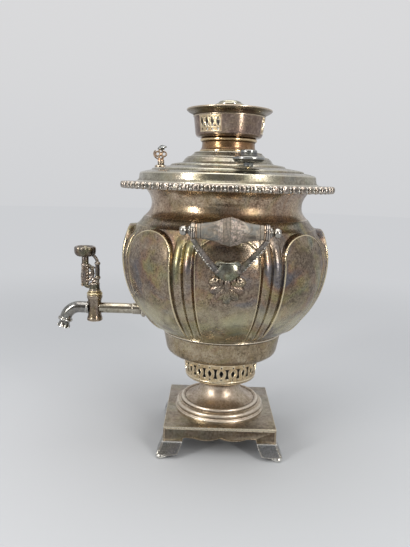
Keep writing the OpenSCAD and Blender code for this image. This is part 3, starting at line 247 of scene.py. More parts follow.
def tube(points: Sequence[Place], radius: float, taper: Sequence[float] = (), sides: int = 3,
         smooth: bool = True) -> Mesh:
    """Round bar along a line of points, closed at both ends.

    Args:
        points: the line.
        radius: radius of the bar.
        taper: share of the radius at each point.
        sides: fineness of the cross-section.
        smooth: whether the line is a smooth curve or a row of straight stretches.

    Returns:
        The mesh.
    """
    curve = bpy.data.curves.new("bar", "CURVE")
    curve.dimensions = "3D"
    curve.bevel_depth = radius
    curve.bevel_resolution = sides
    curve.use_fill_caps = True
    spline = curve.splines.new("NURBS" if smooth else "POLY")
    spline.points.add(len(points) - 1)
    for i, point in enumerate(points):
        spline.points[i].co = (*point, 1)
        spline.points[i].radius = taper[i] if taper else 1
    if smooth:
        spline.use_endpoint_u = True
        spline.order_u = min(4, len(points))
        spline.resolution_u = 6
    return curve_mesh(curve)


def curve_mesh(curve: bpy.types.Curve) -> Mesh:
    """Mesh of a curve, which is then deleted.

    Args:
        curve: the curve.

    Returns:
        The mesh.
    """
    holder = bpy.data.objects.new(curve.name, curve)
    mesh = bpy.data.meshes.new_from_object(holder)
    bm = bmesh.new()
    bm.from_mesh(mesh)
    bpy.data.meshes.remove(mesh)
    bpy.data.objects.remove(holder)
    bpy.data.curves.remove(curve)
    return cleaned(bm)


def pierced_plate(loops: Sequence[Outline], depth: float, edge: float) -> Mesh:
    """Flat plate with holes and rounded edges, in the XY plane with its middle at Z 0.

    Args:
        loops: the outer outline and those of the holes.
        depth: thickness of the plate.
        edge: rounding of its edges.

    Returns:
        The mesh.
    """
    curve = bpy.data.curves.new("plate", "CURVE")
    curve.dimensions = "2D"
    curve.fill_mode = "BOTH"
    curve.extrude = depth / 2 - edge
    curve.bevel_depth = edge
    curve.bevel_resolution = 1
    curve.offset = -edge
    for loop in loops:
        spline = curve.splines.new("POLY")
        spline.points.add(len(loop) - 1)
        spline.use_cyclic_u = True
        for i, (x, y) in enumerate(loop):
            spline.points[i].co = (x, y, 0, 1)
    return curve_mesh(curve)


def sliced(bm: Mesh, low: float, high: float, cuts: int, trim: bool = False) -> None:
    """Cuts a mesh by evenly spaced planes across X, so that it can bend.

    Args:
        bm: the mesh.
        low: first plane.
        high: last plane.
        cuts: number of stretches between the planes.
        trim: whether what lies outside the first and last plane goes.
    """
    for i in range(cuts + 1):
        at = (low + (high - low) * i / cuts, 0, 0)
        geom = list(bm.verts) + list(bm.edges) + list(bm.faces)
        bmesh.ops.bisect_plane(bm, geom=geom, plane_co=at, plane_no=(1, 0, 0), dist=1e-4,
                               clear_inner=trim and i == 0, clear_outer=trim and i == cuts)


def rolled(bm: Mesh, mean: float, radius: Callable[[float], float]) -> Mesh:
    """Rolls a flat plate round the Z axis, its X going round and its Y upwards.

    Args:
        bm: the plate.
        mean: radius at which its widths stay as they are.
        radius: radius of the plate's middle at each height.

    Returns:
        The same mesh.
    """
    def bent(co: Vector) -> Vector:
        """Place on the roll of a point of the flat plate."""
        angle, r = co.x / mean, radius(co.y) + co.z
        return Vector((r * cos(angle), r * sin(angle), co.y))

    return moved(bm, bent)


def ball(radii: Place, centre: Place, across: int = 16, up: int = 10) -> Mesh:
    """Ellipsoid with the given half axes.

    Args:
        radii: the half axes.
        centre: where its middle is.
        across: number of faces round it.
        up: number of rows of faces.

    Returns:
        The mesh.
    """
    bm = bmesh.new()
    place = Matrix.Translation(centre) @ Matrix.Diagonal((*radii, 1))
    bmesh.ops.create_uvsphere(bm, u_segments=across, v_segments=up, radius=1, matrix=place)
    return bm


def block(size: Place, centre: Place, edge: float = 0.5) -> Mesh:
    """Box with rounded edges.

    Args:
        size: its three sides.
        centre: where its middle is.
        edge: rounding of the edges.

    Returns:
        The mesh.
    """
    bm = bmesh.new()
    bmesh.ops.create_cube(bm, size=1, matrix=Matrix.Translation(centre) @ Matrix.Diagonal((*size, 1)))
    bmesh.ops.bevel(bm, geom=bm.edges, offset=edge, offset_type="OFFSET", affect="EDGES", segments=2,
                    profile=0.5, material=-1)
    return bm


def moved(bm: Mesh, change: Callable[[Vector], Vector]) -> Mesh:
    """Moves every vertex of a mesh by a rule.

    Args:
        bm: the mesh.
        change: gives the new place for an old one.

    Returns:
        The same mesh.
    """
    for vert in bm.verts:
        vert.co = change(vert.co.copy())
    return bm


def placed(bm: Mesh, matrix: Matrix) -> Mesh:
    """Turns and shifts a mesh, keeping its faces outwards.

    Args:
        bm: the mesh.
        matrix: where it goes.

    Returns:
        The same mesh.
    """
    bmesh.ops.transform(bm, matrix=matrix, verts=bm.verts)
    if matrix.to_3x3().determinant() < 0:
        bmesh.ops.reverse_faces(bm, faces=bm.faces)
    return bm


def joined(parts: Iterable[Mesh]) -> Mesh:
    """Several meshes as one; the parts are freed.

    Args:
        parts: the meshes.

    Returns:
        The one mesh.
    """
    whole = bmesh.new()
    for part in parts:
        mesh = bpy.data.meshes.new("part")
        part.to_mesh(mesh)
        part.free()
        whole.from_mesh(mesh)
        bpy.data.meshes.remove(mesh)
    return whole


def copies(bm: Mesh, matrices: Iterable[Matrix]) -> Mesh:
    """Copies of a mesh at several places, as one mesh; the original is freed.

    Args:
        bm: the mesh.
        matrices: where the copies go.

    Returns:
        The one mesh.
    """
    mesh = bpy.data.meshes.new("unit")
    bm.to_mesh(mesh)
    bm.free()
    whole = bmesh.new()
    for matrix in matrices:
        turned_mesh = mesh.copy()
        turned_mesh.transform(matrix)
        if matrix.to_3x3().determinant() < 0:
            turned_mesh.flip_normals()
        whole.from_mesh(turned_mesh)
        bpy.data.meshes.remove(turned_mesh)
    bpy.data.meshes.remove(mesh)
    return whole


def turn_about(axis: str, angle: float) -> Matrix:
    """Turn about an axis, in degrees."""
    return Matrix.Rotation(radians(angle), 4, axis)


turn_x, turn_y, turn_z = (partial(turn_about, axis) for axis in "XYZ")


def shift(x: float, y: float, z: float) -> Matrix:
    """Shift in millimetres."""
    return Matrix.Translation((x, y, z))


MIRROR_X = Matrix.Diagonal((-1, 1, 1, 1))


def mark_edges(bm: Mesh, gain: float = 1.1) -> None:
    """Writes how convex the surface is at each vertex, 1 on sharp ridges and -1 in sharp grooves.

    Args:
        bm: the mesh.
        gain: the value that a curvature of one radian per millimetre gets.
    """
    layer = bm.verts.layers.float.get(EDGE_LAYER) or bm.verts.layers.float.new(EDGE_LAYER)
    bm.normal_update()
    bend: dict[bmesh.types.BMEdge, float] = {}
    for edge in bm.edges:
        length = edge.calc_length()
        if len(edge.link_faces) == 2 and length > 1e-6:
            width = sum(f.calc_area() for f in edge.link_faces) / (2 * length)
            bend[edge] = edge.calc_face_angle_signed(0) / max(width, 0.25)
    raw = {}
    for vert in bm.verts:
        values = [bend[e] for e in vert.link_edges if e in bend]
        raw[vert] = max(min(2 * gain * sum(values) / max(len(values), 1), 1), -1)
    for vert in bm.verts:
        around = [raw[e.other_vert(vert)] for e in vert.link_edges]
        vert[layer] = 0.6 * raw[vert] + 0.4 * sum(around) / max(len(around), 1)


# --- shader graphs
class Graph:
    """Short forms for adding and joining the nodes of one shader tree."""

    def __init__(self, tree: bpy.types.NodeTree) -> None:
        """Takes the tree that the nodes go into."""
        self.tree = tree

    @classmethod
    def of(cls, owner: bpy.types.ID) -> "Graph":
        """Empty graph of a new material or world.

        Args:
            owner: the material or world.

        Returns:
            The graph.
        """
        owner.use_nodes = True
        owner.node_tree.nodes.clear()
        return cls(owner.node_tree)

    def fill(self, node: bpy.types.Node, values: dict) -> bpy.types.Node:
        """Sets a node's inputs to values, or joins them to other nodes' sockets.

        Args:
            node: the node.
            values: inputs by name or number, each with a value or another node's socket.

        Returns:
            The node.
        """
        for name, value in values.items():
            if isinstance(value, Socket):
                self.tree.links.new(value, node.inputs[name])
            else:
                node.inputs[name].default_value = value
        return node

    def add(self, kind: str, values: dict | None = None, **settings: object) -> bpy.types.Node:
        """Adds a node.

        Args:
            kind: the node's type, without the leading ShaderNode.
            values: sockets by name or number, each with a value or another node's socket.
            settings: the node's own settings.

        Returns:
            The node.
        """
        node = self.tree.nodes.new("ShaderNode" + kind)
        for name, value in settings.items():
            setattr(node, name, value)
        return self.fill(node, values or {})

    def group(self, tree: bpy.types.NodeTree, values: dict) -> bpy.types.Node:
        """Adds a node group."""
        return self.add("Group", values, node_tree=tree)

    def times(self, a: object, b: object) -> Socket:
        """Product of two values or sockets."""
        return self.maths("MULTIPLY", a, b)

    def plus(self, a: object, b: object) -> Socket:
        """Sum of two values or sockets."""
        return self.maths("ADD", a, b)

    def maths(self, operation: str, a: object, b: object = 0.0, clamp: bool = False) -> Socket:
        """Result of one sum on two values or sockets."""
        return self.add("Math", {0: a, 1: b}, operation=operation, use_clamp=clamp).outputs[0]

    def mixed(self, factor: object, a: object, b: object) -> Socket:
        """Colour between a and b."""
        return self.add("Mix", {0: factor, 6: a, 7: b}, data_type="RGBA").outputs[2]

    def spread(self, value: object, low: float, high: float, to_low: float = 0.0,
               to_high: float = 1.0) -> Socket:
        """Smooth change of a value's range."""
        names = {"Value": value, "From Min": low, "From Max": high, "To Min": to_low, "To Max": to_high}
        return self.add("MapRange", names, interpolation_type="SMOOTHSTEP").outputs[0]

    def noise(self, vector: object, scale: float, detail: float = 5.0, rough: float = 0.55,
              bend: float = 0.0) -> Socket:
        """Value of a noise texture."""
        values = {"Vector": vector, "Scale": scale, "Detail": detail, "Roughness": rough, "Distortion": bend}
        return self.add("TexNoise", values).outputs["Fac"]


def rgba(colour: Colour) -> tuple[float, float, float, float]:
    """Colour with full alpha."""
    return (*colour, 1.0)


class Groups:
    """Effects that several finishes share, each a node group that is built once."""

    def __init__(self) -> None:
        """Builds the groups."""
        self.patina = self._patina()
        self.marks = self._marks()
        self.turning = self._turning()
        self.wear = self._wear()

    @staticmethod
    def _group(name: str, inputs: dict[str, object],
               outputs: dict[str, str]) -> tuple[Graph, dict[str, Socket], bpy.types.Node]:
        """Starts a group with named sockets.

        Args:
            name: name of the group.
            inputs: default of each input, a number, a colour or None for a vector.
            outputs: kind of each output.

        Returns:
            The graph, its inputs by name and its output node.
        """
        tree = bpy.data.node_groups.new(name, "ShaderNodeTree")
        for label, value in inputs.items():
            kind = "Vector" if value is None else "Float" if isinstance(value, float) else "Color"
            socket = tree.interface.new_socket(label, in_out="INPUT", socket_type="NodeSocket" + kind)
            if value is not None:
                socket.default_value = value
        for label, kind in outputs.items():
            tree.interface.new_socket(label, in_out="OUTPUT", socket_type="NodeSocket" + kind)
        entry = tree.nodes.new("NodeGroupInput")
        leave = tree.nodes.new("NodeGroupOutput")
        return Graph(tree), {socket.name: socket for socket in entry.outputs}, leave

    def _patina(self) -> bpy.types.NodeTree:
        """Mottled tarnish: three tones in small ragged blotches, coloured films and dark freckles."""
        grey = (0.5, 0.5, 0.5, 1.0)
        g, given, leave = self._group(
            "patina",
            {"Vector": None, "Scale": 40.0, "Dark": grey, "Middle": grey, "Light": grey, "Film": 0.3,
             "Freckles": 0.4},
            {"Color": "Color", "Mask": "Float"})
        vector = g.add("VectorMath", {0: given["Vector"], "Scale": given["Scale"]},
                       operation="SCALE").outputs[0]
        broad = g.noise(vector, 0.45, 5.0, 0.62, 0.5)
        middling = g.noise(vector, 2.6, 6.0, 0.70, 0.7)
        small = g.noise(vector, 9.0, 4.0, 0.70, 0.3)
        total = g.plus(g.times(broad, 0.36), g.times(middling, 0.30))
        total = g.plus(total, g.times(small, 0.34))
        mask = g.spread(total, 0.37, 0.63)
        tone = g.mixed(g.spread(mask, 0.0, 0.55), given["Dark"], given["Middle"])
        tone = g.mixed(g.spread(mask, 0.5, 1.0), tone, given["Light"])
        hue = g.add("ValToRGB", {0: g.noise(vector, 0.38, 3.0, 0.5, 1.0)})
        ramp = hue.color_ramp.elements
        ramp[0].position, ramp[1].position = FILMS[0][0], FILMS[-1][0]
        ramp[0].color, ramp[1].color = rgba(FILMS[0][1]), rgba(FILMS[-1][1])
        for place, colour in FILMS[1:-1]:
            ramp.new(place).color = rgba(colour)
        where = g.spread(g.noise(vector, 0.7, 4.0, 0.6, 0.6), 0.38, 0.62)
        tone = g.mixed(g.times(where, given["Film"]), tone, hue.outputs[0])
        dots = g.spread(g.noise(given["Vector"], 520.0, 3.0, 0.75), 0.49, 0.60)
        dense = g.spread(g.noise(vector, 1.9, 4.0, 0.6), 0.36, 0.62, 0.35, 1.0)
        amount = g.times(g.times(dots, dense), given["Freckles"])
        g.fill(leave, {"Color": g.mixed(amount, tone, rgba(SOOT)), "Mask": mask})
        return g.tree

    def _marks(self) -> bpy.types.NodeTree:
        """Hairline scratches in two directions and small pits."""
        g, given, leave = self._group("marks", {"Vector": None, "Scratches": 0.5, "Pits": 0.3},
                                      {"Height": "Float", "Mask": "Float"})
        lines = []
        for angle, stretch in ((0.6, 26.0), (-0.9, 33.0)):
            rotation, scale = (angle, 0.4 * angle, angle), (stretch * 9, stretch * 0.5, stretch * 9)
            along = g.add("Mapping", {"Vector": given["Vector"], "Rotation": rotation, "Scale": scale})
            waves = g.noise(along.outputs[0], 1.0, 2.0, 0.5, 0.6)
            off = g.maths("ABSOLUTE", g.maths("SUBTRACT", waves, 0.5))
            lines.append(g.spread(off, 0.0, 0.010, 1.0, 0.0))
        patch = g.spread(g.noise(given["Vector"], 30.0, 3.0), 0.50, 0.68)
        both = g.maths("MAXIMUM", lines[0], lines[1])
        scratch = g.times(g.times(both, patch), given["Scratches"])
        pits = g.spread(g.noise(given["Vector"], 620.0, 2.0, 0.6), 0.60, 0.72)
        patch = g.spread(g.noise(given["Vector"], 45.0, 4.0), 0.40, 0.58)
        pits = g.times(g.times(pits, given["Pits"]), patch)
        g.fill(leave, {"Height": g.times(g.plus(scratch, pits), -1.0), "Mask": scratch})
        return g.tree

    def _turning(self) -> bpy.types.NodeTree:
        """Fine rings that a lathe leaves round the Z axis."""
        g, given, leave = self._group("turning", {"Vector": None, "Density": 900.0}, {"Height": "Float"})
        split = g.add("SeparateXYZ", {0: given["Vector"]}).outputs
        square = g.plus(g.times(split[0], split[0]), g.times(split[1], split[1]))
        radius = g.maths("SQRT", square)
        around = g.maths("ARCTAN2", split[1], split[0])
        flat = g.add("CombineXYZ", {0: g.times(radius, given["Density"]), 1: g.times(around, 0.7),
                                    2: g.times(split[2], given["Density"])}).outputs[0]
        g.fill(leave, {"Height": g.noise(flat, 1.0, 2.0, 0.6)})
        return g.tree

    def _wear(self) -> bpy.types.NodeTree:
        """Rubbed ridges and grimy grooves, from the surface's own curvature."""
        g, given, leave = self._group("wear", {"Vector": None, "Curve": 0.0, "Spread": 0.5},
                                      {"Ridge": "Float", "Groove": "Float"})
        rough = g.noise(given["Vector"], 260.0, 4.0, 0.65)
        ragged = g.times(g.maths("SUBTRACT", rough, 0.5), given["Spread"])
        ridge = g.spread(g.plus(given["Curve"], ragged), 0.12, 0.55)
        groove = g.spread(g.maths("SUBTRACT", ragged, given["Curve"]), 0.05, 0.5)
        g.fill(leave, {"Ridge": ridge, "Groove": groove})
        return g.tree


class Grain(Enum):
    """How a surface was worked."""

    CAST = "cast"
    SPUN = "spun"
    ROLLED = "rolled"


@dataclass(frozen=True)
class MetalFinish:
    """Plated metal with tarnish, rubbed ridges, grimy grooves, scratches and tool marks, and where asked a
    painted reflection of a bright tray low down.
    """

    name: str
    slot: str
    dark: Colour
    middle: Colour
    light: Colour
    ridge: Colour
    film: float
    freckles: float
    scale: float
    roughness: tuple[float, float]
    scratches: float = 0.35
    pits: float = 0.3
    grime: float = 0.7
    # Heights in metres for a painted tray reflection: full below the first, gone above the second; (0, 0) for
    # none.
    painted_reflection: tuple[float, float] = (0.0, 0.0)
    bump: float = 0.25
    grain: Grain = Grain.ROLLED

    def material(self, groups: Groups) -> bpy.types.Material:
        """Builds the finish.

        Args:
            groups: the shared effects.

        Returns:
            The material.
        """
        material = bpy.data.materials.new(self.name)
        g = Graph.of(material)
        place = g.add("TexCoord").outputs["Object"]
        curve = g.add("Attribute", attribute_name=EDGE_LAYER).outputs["Fac"]
        patina = g.group(groups.patina, {"Vector": place, "Scale": self.scale, "Dark": rgba(self.dark),
                                         "Middle": rgba(self.middle), "Light": rgba(self.light),
                                         "Film": self.film, "Freckles": self.freckles})
        marks = g.group(groups.marks, {"Vector": place, "Scratches": self.scratches, "Pits": self.pits})
        wear = g.group(groups.wear, {"Vector": place, "Curve": curve, "Spread": 0.5})
        ridge, groove = wear.outputs["Ridge"], wear.outputs["Groove"]
        colour = patina.outputs["Color"]
        # Painted reflection: a patchy yellow band at the bottom of the piece, standing in for a bright tray
        # mirrored there.
        if self.painted_reflection[1]:
            level = g.add("SeparateXYZ", {0: place}).outputs[2]
            patchy = g.spread(g.noise(place, 26.0, 5.0, 0.6, 0.5), 0.36, 0.60, 0.12, 0.80)
            low = g.times(g.spread(level, *self.painted_reflection, 1.0, 0.0), patchy)
            colour = g.mixed(low, colour, rgba(TRAY_REFLECTION))
        colour = g.mixed(g.times(groove, self.grime), colour, rgba(GRIME))
        colour = g.mixed(g.times(ridge, 0.75), colour, rgba(self.ridge))
        colour = g.mixed(marks.outputs["Mask"], colour, rgba(self.ridge))
        smooth, rough = self.roughness
        level = g.spread(patina.outputs["Mask"], 0.0, 1.0, rough, smooth)
        level = g.plus(level, g.times(groove, 0.25))
        level = g.maths("SUBTRACT", level, g.times(ridge, 0.08), clamp=True)
        height = marks.outputs["Height"]
        if self.grain is Grain.SPUN:
            turning = g.group(groups.turning, {"Vector": place, "Density": 900.0})
            height = g.plus(height, g.times(turning.outputs[0], 0.5))
        if self.grain is Grain.CAST:
            height = g.plus(height, g.times(g.noise(place, 420.0, 4.0, 0.6), 0.9))
        bump = g.add("Bump", {"Height": height, "Strength": self.bump, "Distance": 0.0004})
        surface = g.add("BsdfPrincipled", {"Base Color": colour, "Roughness": level, "Metallic": 1.0,
                                           "Normal": bump.outputs[0]})
        g.add("OutputMaterial", {0: surface.outputs[0]})
        return material


@dataclass(frozen=True)
class WoodFinish:
    """Weathered turned wood with worn paint, grain along the Y axis and pale flecks."""

    name: str
    slot: str
    dark: Colour
    middle: Colour
    light: Colour
    film: Colour = (0.115, 0.128, 0.122)
    fleck: Colour = (0.58, 0.44, 0.38)

    def material(self, groups: Groups) -> bpy.types.Material:
        """Builds the finish.

        Args:
            groups: the shared effects.

        Returns:
            The material.
        """
        material = bpy.data.materials.new(self.name)
        g = Graph.of(material)
        place = g.add("TexCoord").outputs["Object"]
        curve = g.add("Attribute", attribute_name=EDGE_LAYER).outputs["Fac"]
        along = g.add("Mapping", {"Vector": place, "Scale": (260.0, 22.0, 260.0)}).outputs[0]
        grain = g.noise(along, 1.0, 5.0, 0.6, 0.7)
        blotch = g.noise(place, 120.0, 6.0, 0.70, 0.6)
        colour = g.mixed(g.spread(grain, 0.35, 0.65), rgba(self.dark), rgba(self.middle))
        colour = g.mixed(g.spread(blotch, 0.48, 0.62), colour, rgba(self.light))
        film = g.spread(g.noise(place, 70.0, 5.0, 0.65, 0.8), 0.47, 0.58)
        colour = g.mixed(g.times(film, 0.65), colour, rgba(self.film))
        flecks = g.spread(g.noise(place, 460.0, 3.0, 0.7), 0.50, 0.60)
        aside = g.maths("ABSOLUTE", g.add("SeparateXYZ", {0: place}).outputs[1])
        flecks = g.times(flecks, g.spread(aside, 0.006, 0.018, 1.0, 0.12))
        colour = g.mixed(g.times(flecks, 0.6), colour, rgba(self.fleck))
        colour = g.mixed(g.spread(curve, 0.15, 0.7, 0.0, 0.6), colour, rgba(self.light))
        colour = g.mixed(g.spread(curve, -0.12, -0.5, 0.0, 0.8), colour, rgba(self.dark))
        level = g.spread(blotch, 0.3, 0.7, 0.60, 0.36)
        height = g.plus(g.times(grain, 0.6), g.times(blotch, 0.5))
        bump = g.add("Bump", {"Height": height, "Strength": 0.35, "Distance": 0.0005})
        surface = g.add("BsdfPrincipled", {"Base Color": colour, "Roughness": level, "Normal": bump.outputs[0]})
        g.add("OutputMaterial", {0: surface.outputs[0]})
        return material


# Each metal: name, slot, dark, middle and light tone, rubbed ridges, films, freckles, scale, roughness.
FINISHES: dict[str, MetalFinish | WoodFinish] = {
    # The body's bottom band gets a painted reflection of a bright tray.
    "body": MetalFinish(
        "body_plate", "silver_plate", (0.125, 0.095, 0.07), (0.285, 0.225, 0.168), (0.43, 0.36, 0.28),
        (0.8, 0.68, 0.45), 0.55, 0.75, 42, (0.2, 0.36), grime=0.25, painted_reflection=(0.186, 0.226)),
    "throat": MetalFinish(
        "throat_plate", "silver_plate", (0.2, 0.13, 0.085), (0.4, 0.29, 0.205), (0.62, 0.49, 0.36),
        (0.78, 0.7, 0.58), 0.26, 0.6, 44, (0.18, 0.34), grain=Grain.SPUN),
    "bowl": MetalFinish(
        "bowl_plate", "silver_plate", (0.19, 0.15, 0.098), (0.37, 0.29, 0.19), (0.54, 0.46, 0.33),
        (0.78, 0.7, 0.58), 0.4, 0.4, 34, (0.2, 0.38), grain=Grain.SPUN),
    "lid": MetalFinish(
        "lid_plate", "lid_plate", (0.19, 0.17, 0.135), (0.33, 0.31, 0.25), (0.49, 0.46, 0.38),
        (0.72, 0.68, 0.57), 0.22, 0.3, 40, (0.18, 0.36), grain=Grain.SPUN),
    "knob": MetalFinish(
        "knob_plate", "lid_plate", (0.055, 0.06, 0.07), (0.15, 0.155, 0.165), (0.32, 0.33, 0.34),
        (0.4, 0.4, 0.38), 0.2, 0.4, 60, (0.18, 0.36), grain=Grain.SPUN),
    "copper": MetalFinish(
        "worn_copper", "worn_copper", (0.14, 0.095, 0.078), (0.28, 0.21, 0.17), (0.44, 0.345, 0.285),
        (0.76, 0.56, 0.4), 0.16, 0.4, 44, (0.12, 0.24), bump=0.08, grain=Grain.SPUN),
    "gold": MetalFinish(
        "gilt_plate", "brass", (0.14, 0.072, 0.032), (0.29, 0.17, 0.084), (0.45, 0.29, 0.155),
        (0.86, 0.68, 0.42), 0.1, 0.3, 46, (0.18, 0.34), grain=Grain.SPUN),
    "pale": MetalFinish(
        "pale_plate", "pale_plate", (0.34, 0.24, 0.135), (0.62, 0.475, 0.285), (0.8, 0.66, 0.45),
        (0.88, 0.78, 0.58), 0.1, 0.22, 60, (0.26, 0.44), grain=Grain.CAST),
    "bright": MetalFinish(
        "bright_plate", "bright_plate", (0.075, 0.07, 0.064), (0.23, 0.215, 0.19), (0.48, 0.46, 0.42),
        (0.5, 0.48, 0.44), 0.2, 0.3, 90, (0.14, 0.34), grain=Grain.CAST),
    "pipe": MetalFinish(
        "pipe_plate", "bright_plate", (0.12, 0.12, 0.115), (0.23, 0.23, 0.22), (0.35, 0.345, 0.33),
        (0.7, 0.68, 0.64), 0.1, 0.2, 60, (0.12, 0.2), scratches=0.15, bump=0.06),
    "silver": MetalFinish(
        "silver_pipe", "pale_plate", (0.17, 0.15, 0.115), (0.34, 0.305, 0.245), (0.52, 0.475, 0.395),
        (0.8, 0.74, 0.62), 0.14, 0.2, 50, (0.12, 0.22), scratches=0.15, bump=0.06),
    "olive": MetalFinish(
        "olive_plate", "silver_plate", (0.1, 0.102, 0.075), (0.24, 0.245, 0.19), (0.44, 0.445, 0.36),
        (0.66, 0.64, 0.52), 0.25, 0.35, 60, (0.2, 0.34), bump=0.1),
    "dark": MetalFinish(
        "dark_plate", "bright_plate", (0.052, 0.047, 0.042), (0.135, 0.12, 0.108), (0.3, 0.27, 0.245),
        (0.6, 0.52, 0.44), 0.2, 0.35, 80, (0.22, 0.42), grain=Grain.CAST),
    "bronze": MetalFinish(
        "bronze_plate", "silver_plate", (0.105, 0.082, 0.064), (0.24, 0.195, 0.152), (0.41, 0.345, 0.275),
        (0.62, 0.52, 0.4), 0.24, 0.45, 70, (0.2, 0.4), grain=Grain.CAST),
    "satin": MetalFinish(
        "satin_plate", "silver_plate", (0.31, 0.24, 0.18), (0.5, 0.415, 0.325), (0.66, 0.575, 0.475),
        (0.86, 0.78, 0.66), 0.12, 0.25, 36, (0.34, 0.48), grain=Grain.SPUN),
    "top": MetalFinish(
        "plinth_plate", "silver_plate", (0.135, 0.105, 0.078), (0.255, 0.205, 0.155), (0.37, 0.31, 0.24),
        (0.8, 0.72, 0.56), 0.22, 0.55, 44, (0.28, 0.44)),
    "apron": MetalFinish(
        "apron_plate", "silver_plate", (0.05, 0.037, 0.027), (0.11, 0.083, 0.06), (0.19, 0.15, 0.11),
        (0.5, 0.41, 0.3), 0.22, 0.6, 46, (0.3, 0.5)),
    "steel": MetalFinish(
        "foot_plate", "silver_plate", (0.13, 0.135, 0.14), (0.3, 0.31, 0.32), (0.52, 0.53, 0.53),
        (0.92, 0.9, 0.84), 0.18, 0.4, 44, (0.2, 0.36)),
    "brass": MetalFinish(
        "dull_brass", "brass", (0.2, 0.14, 0.07), (0.38, 0.29, 0.155), (0.54, 0.44, 0.25), (0.8, 0.7, 0.46),
        0.1, 0.25, 50, (0.2, 0.4), grain=Grain.SPUN),
    "iron": MetalFinish(
        "dark_iron", "iron", (0.035, 0.032, 0.03), (0.09, 0.083, 0.078), (0.17, 0.15, 0.14),
        (0.3, 0.28, 0.26), 0, 0.5, 30, (0.48, 0.72), grime=0.9, bump=0.5, grain=Grain.CAST),
    "wood": WoodFinish(
        "turned_grip", "turned_grip", (0.055, 0.045, 0.034), (0.145, 0.122, 0.092), (0.29, 0.245, 0.19)),
}


class Finishes:
    """Every finish of the samovar, each with the slot that it belongs to."""

    def __init__(self) -> None:
        """Builds the materials."""
        groups = Groups()
        self.materials = {key: finish.material(groups) for key, finish in FINISHES.items()}
        self.slots = {key: finish.slot for key, finish in FINISHES.items()}


# --- making pieces
@dataclass
class Workshop:
    """Turns meshes into finished pieces and dresses the CAD nodes that stay."""

    finishes: Finishes

    def piece(self, name: str, bm: Mesh, finish: str, replaces: Sequence[str], body: str = "vessel",
              sharp: float = 38.0, gain: float = 1.1) -> bpy.types.Object:
        """Finishes a piece and puts it on its body.

        Args:
            name: name of the piece.
            bm: its mesh in millimetres, freed here.
            finish: name of its finish.
            replaces: the CAD nodes that it stands for.
            body: the CAD body that it rides on.
            sharp: angle past which an edge stays sharp, in degrees.
            gain: strength of the edge wear.

        Returns:
            The object.
        """
        mark_edges(bm, gain)
        mesh = bpy.data.meshes.new(name)
        bm.to_mesh(mesh)
        bm.free()
        mesh.transform(Matrix.Scale(MM, 4))
        mesh.shade_smooth()
        mesh.set_sharp_from_angle(angle=radians(sharp))
        thing = bpy.data.objects.new(name, mesh)
        bpy.context.scene.collection.objects.link(thing)
        mesh.materials.append(self.finishes.materials[finish])
        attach(thing, body)
        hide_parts(*replaces)
        LOG.info("%s: %d faces on %s", name, len(mesh.polygons), body)
        return thing

    def keep(self, node: str, finish: str) -> None:
        """Gives a CAD node that stays its finish.

        Args:
            node: name of the node.
            finish: name of the finish.
        """
        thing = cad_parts[node]
        thing.data.materials.clear()
        thing.data.materials.append(self.finishes.materials[finish])
        LOG.info("%s: CAD node in %s", node, finish)


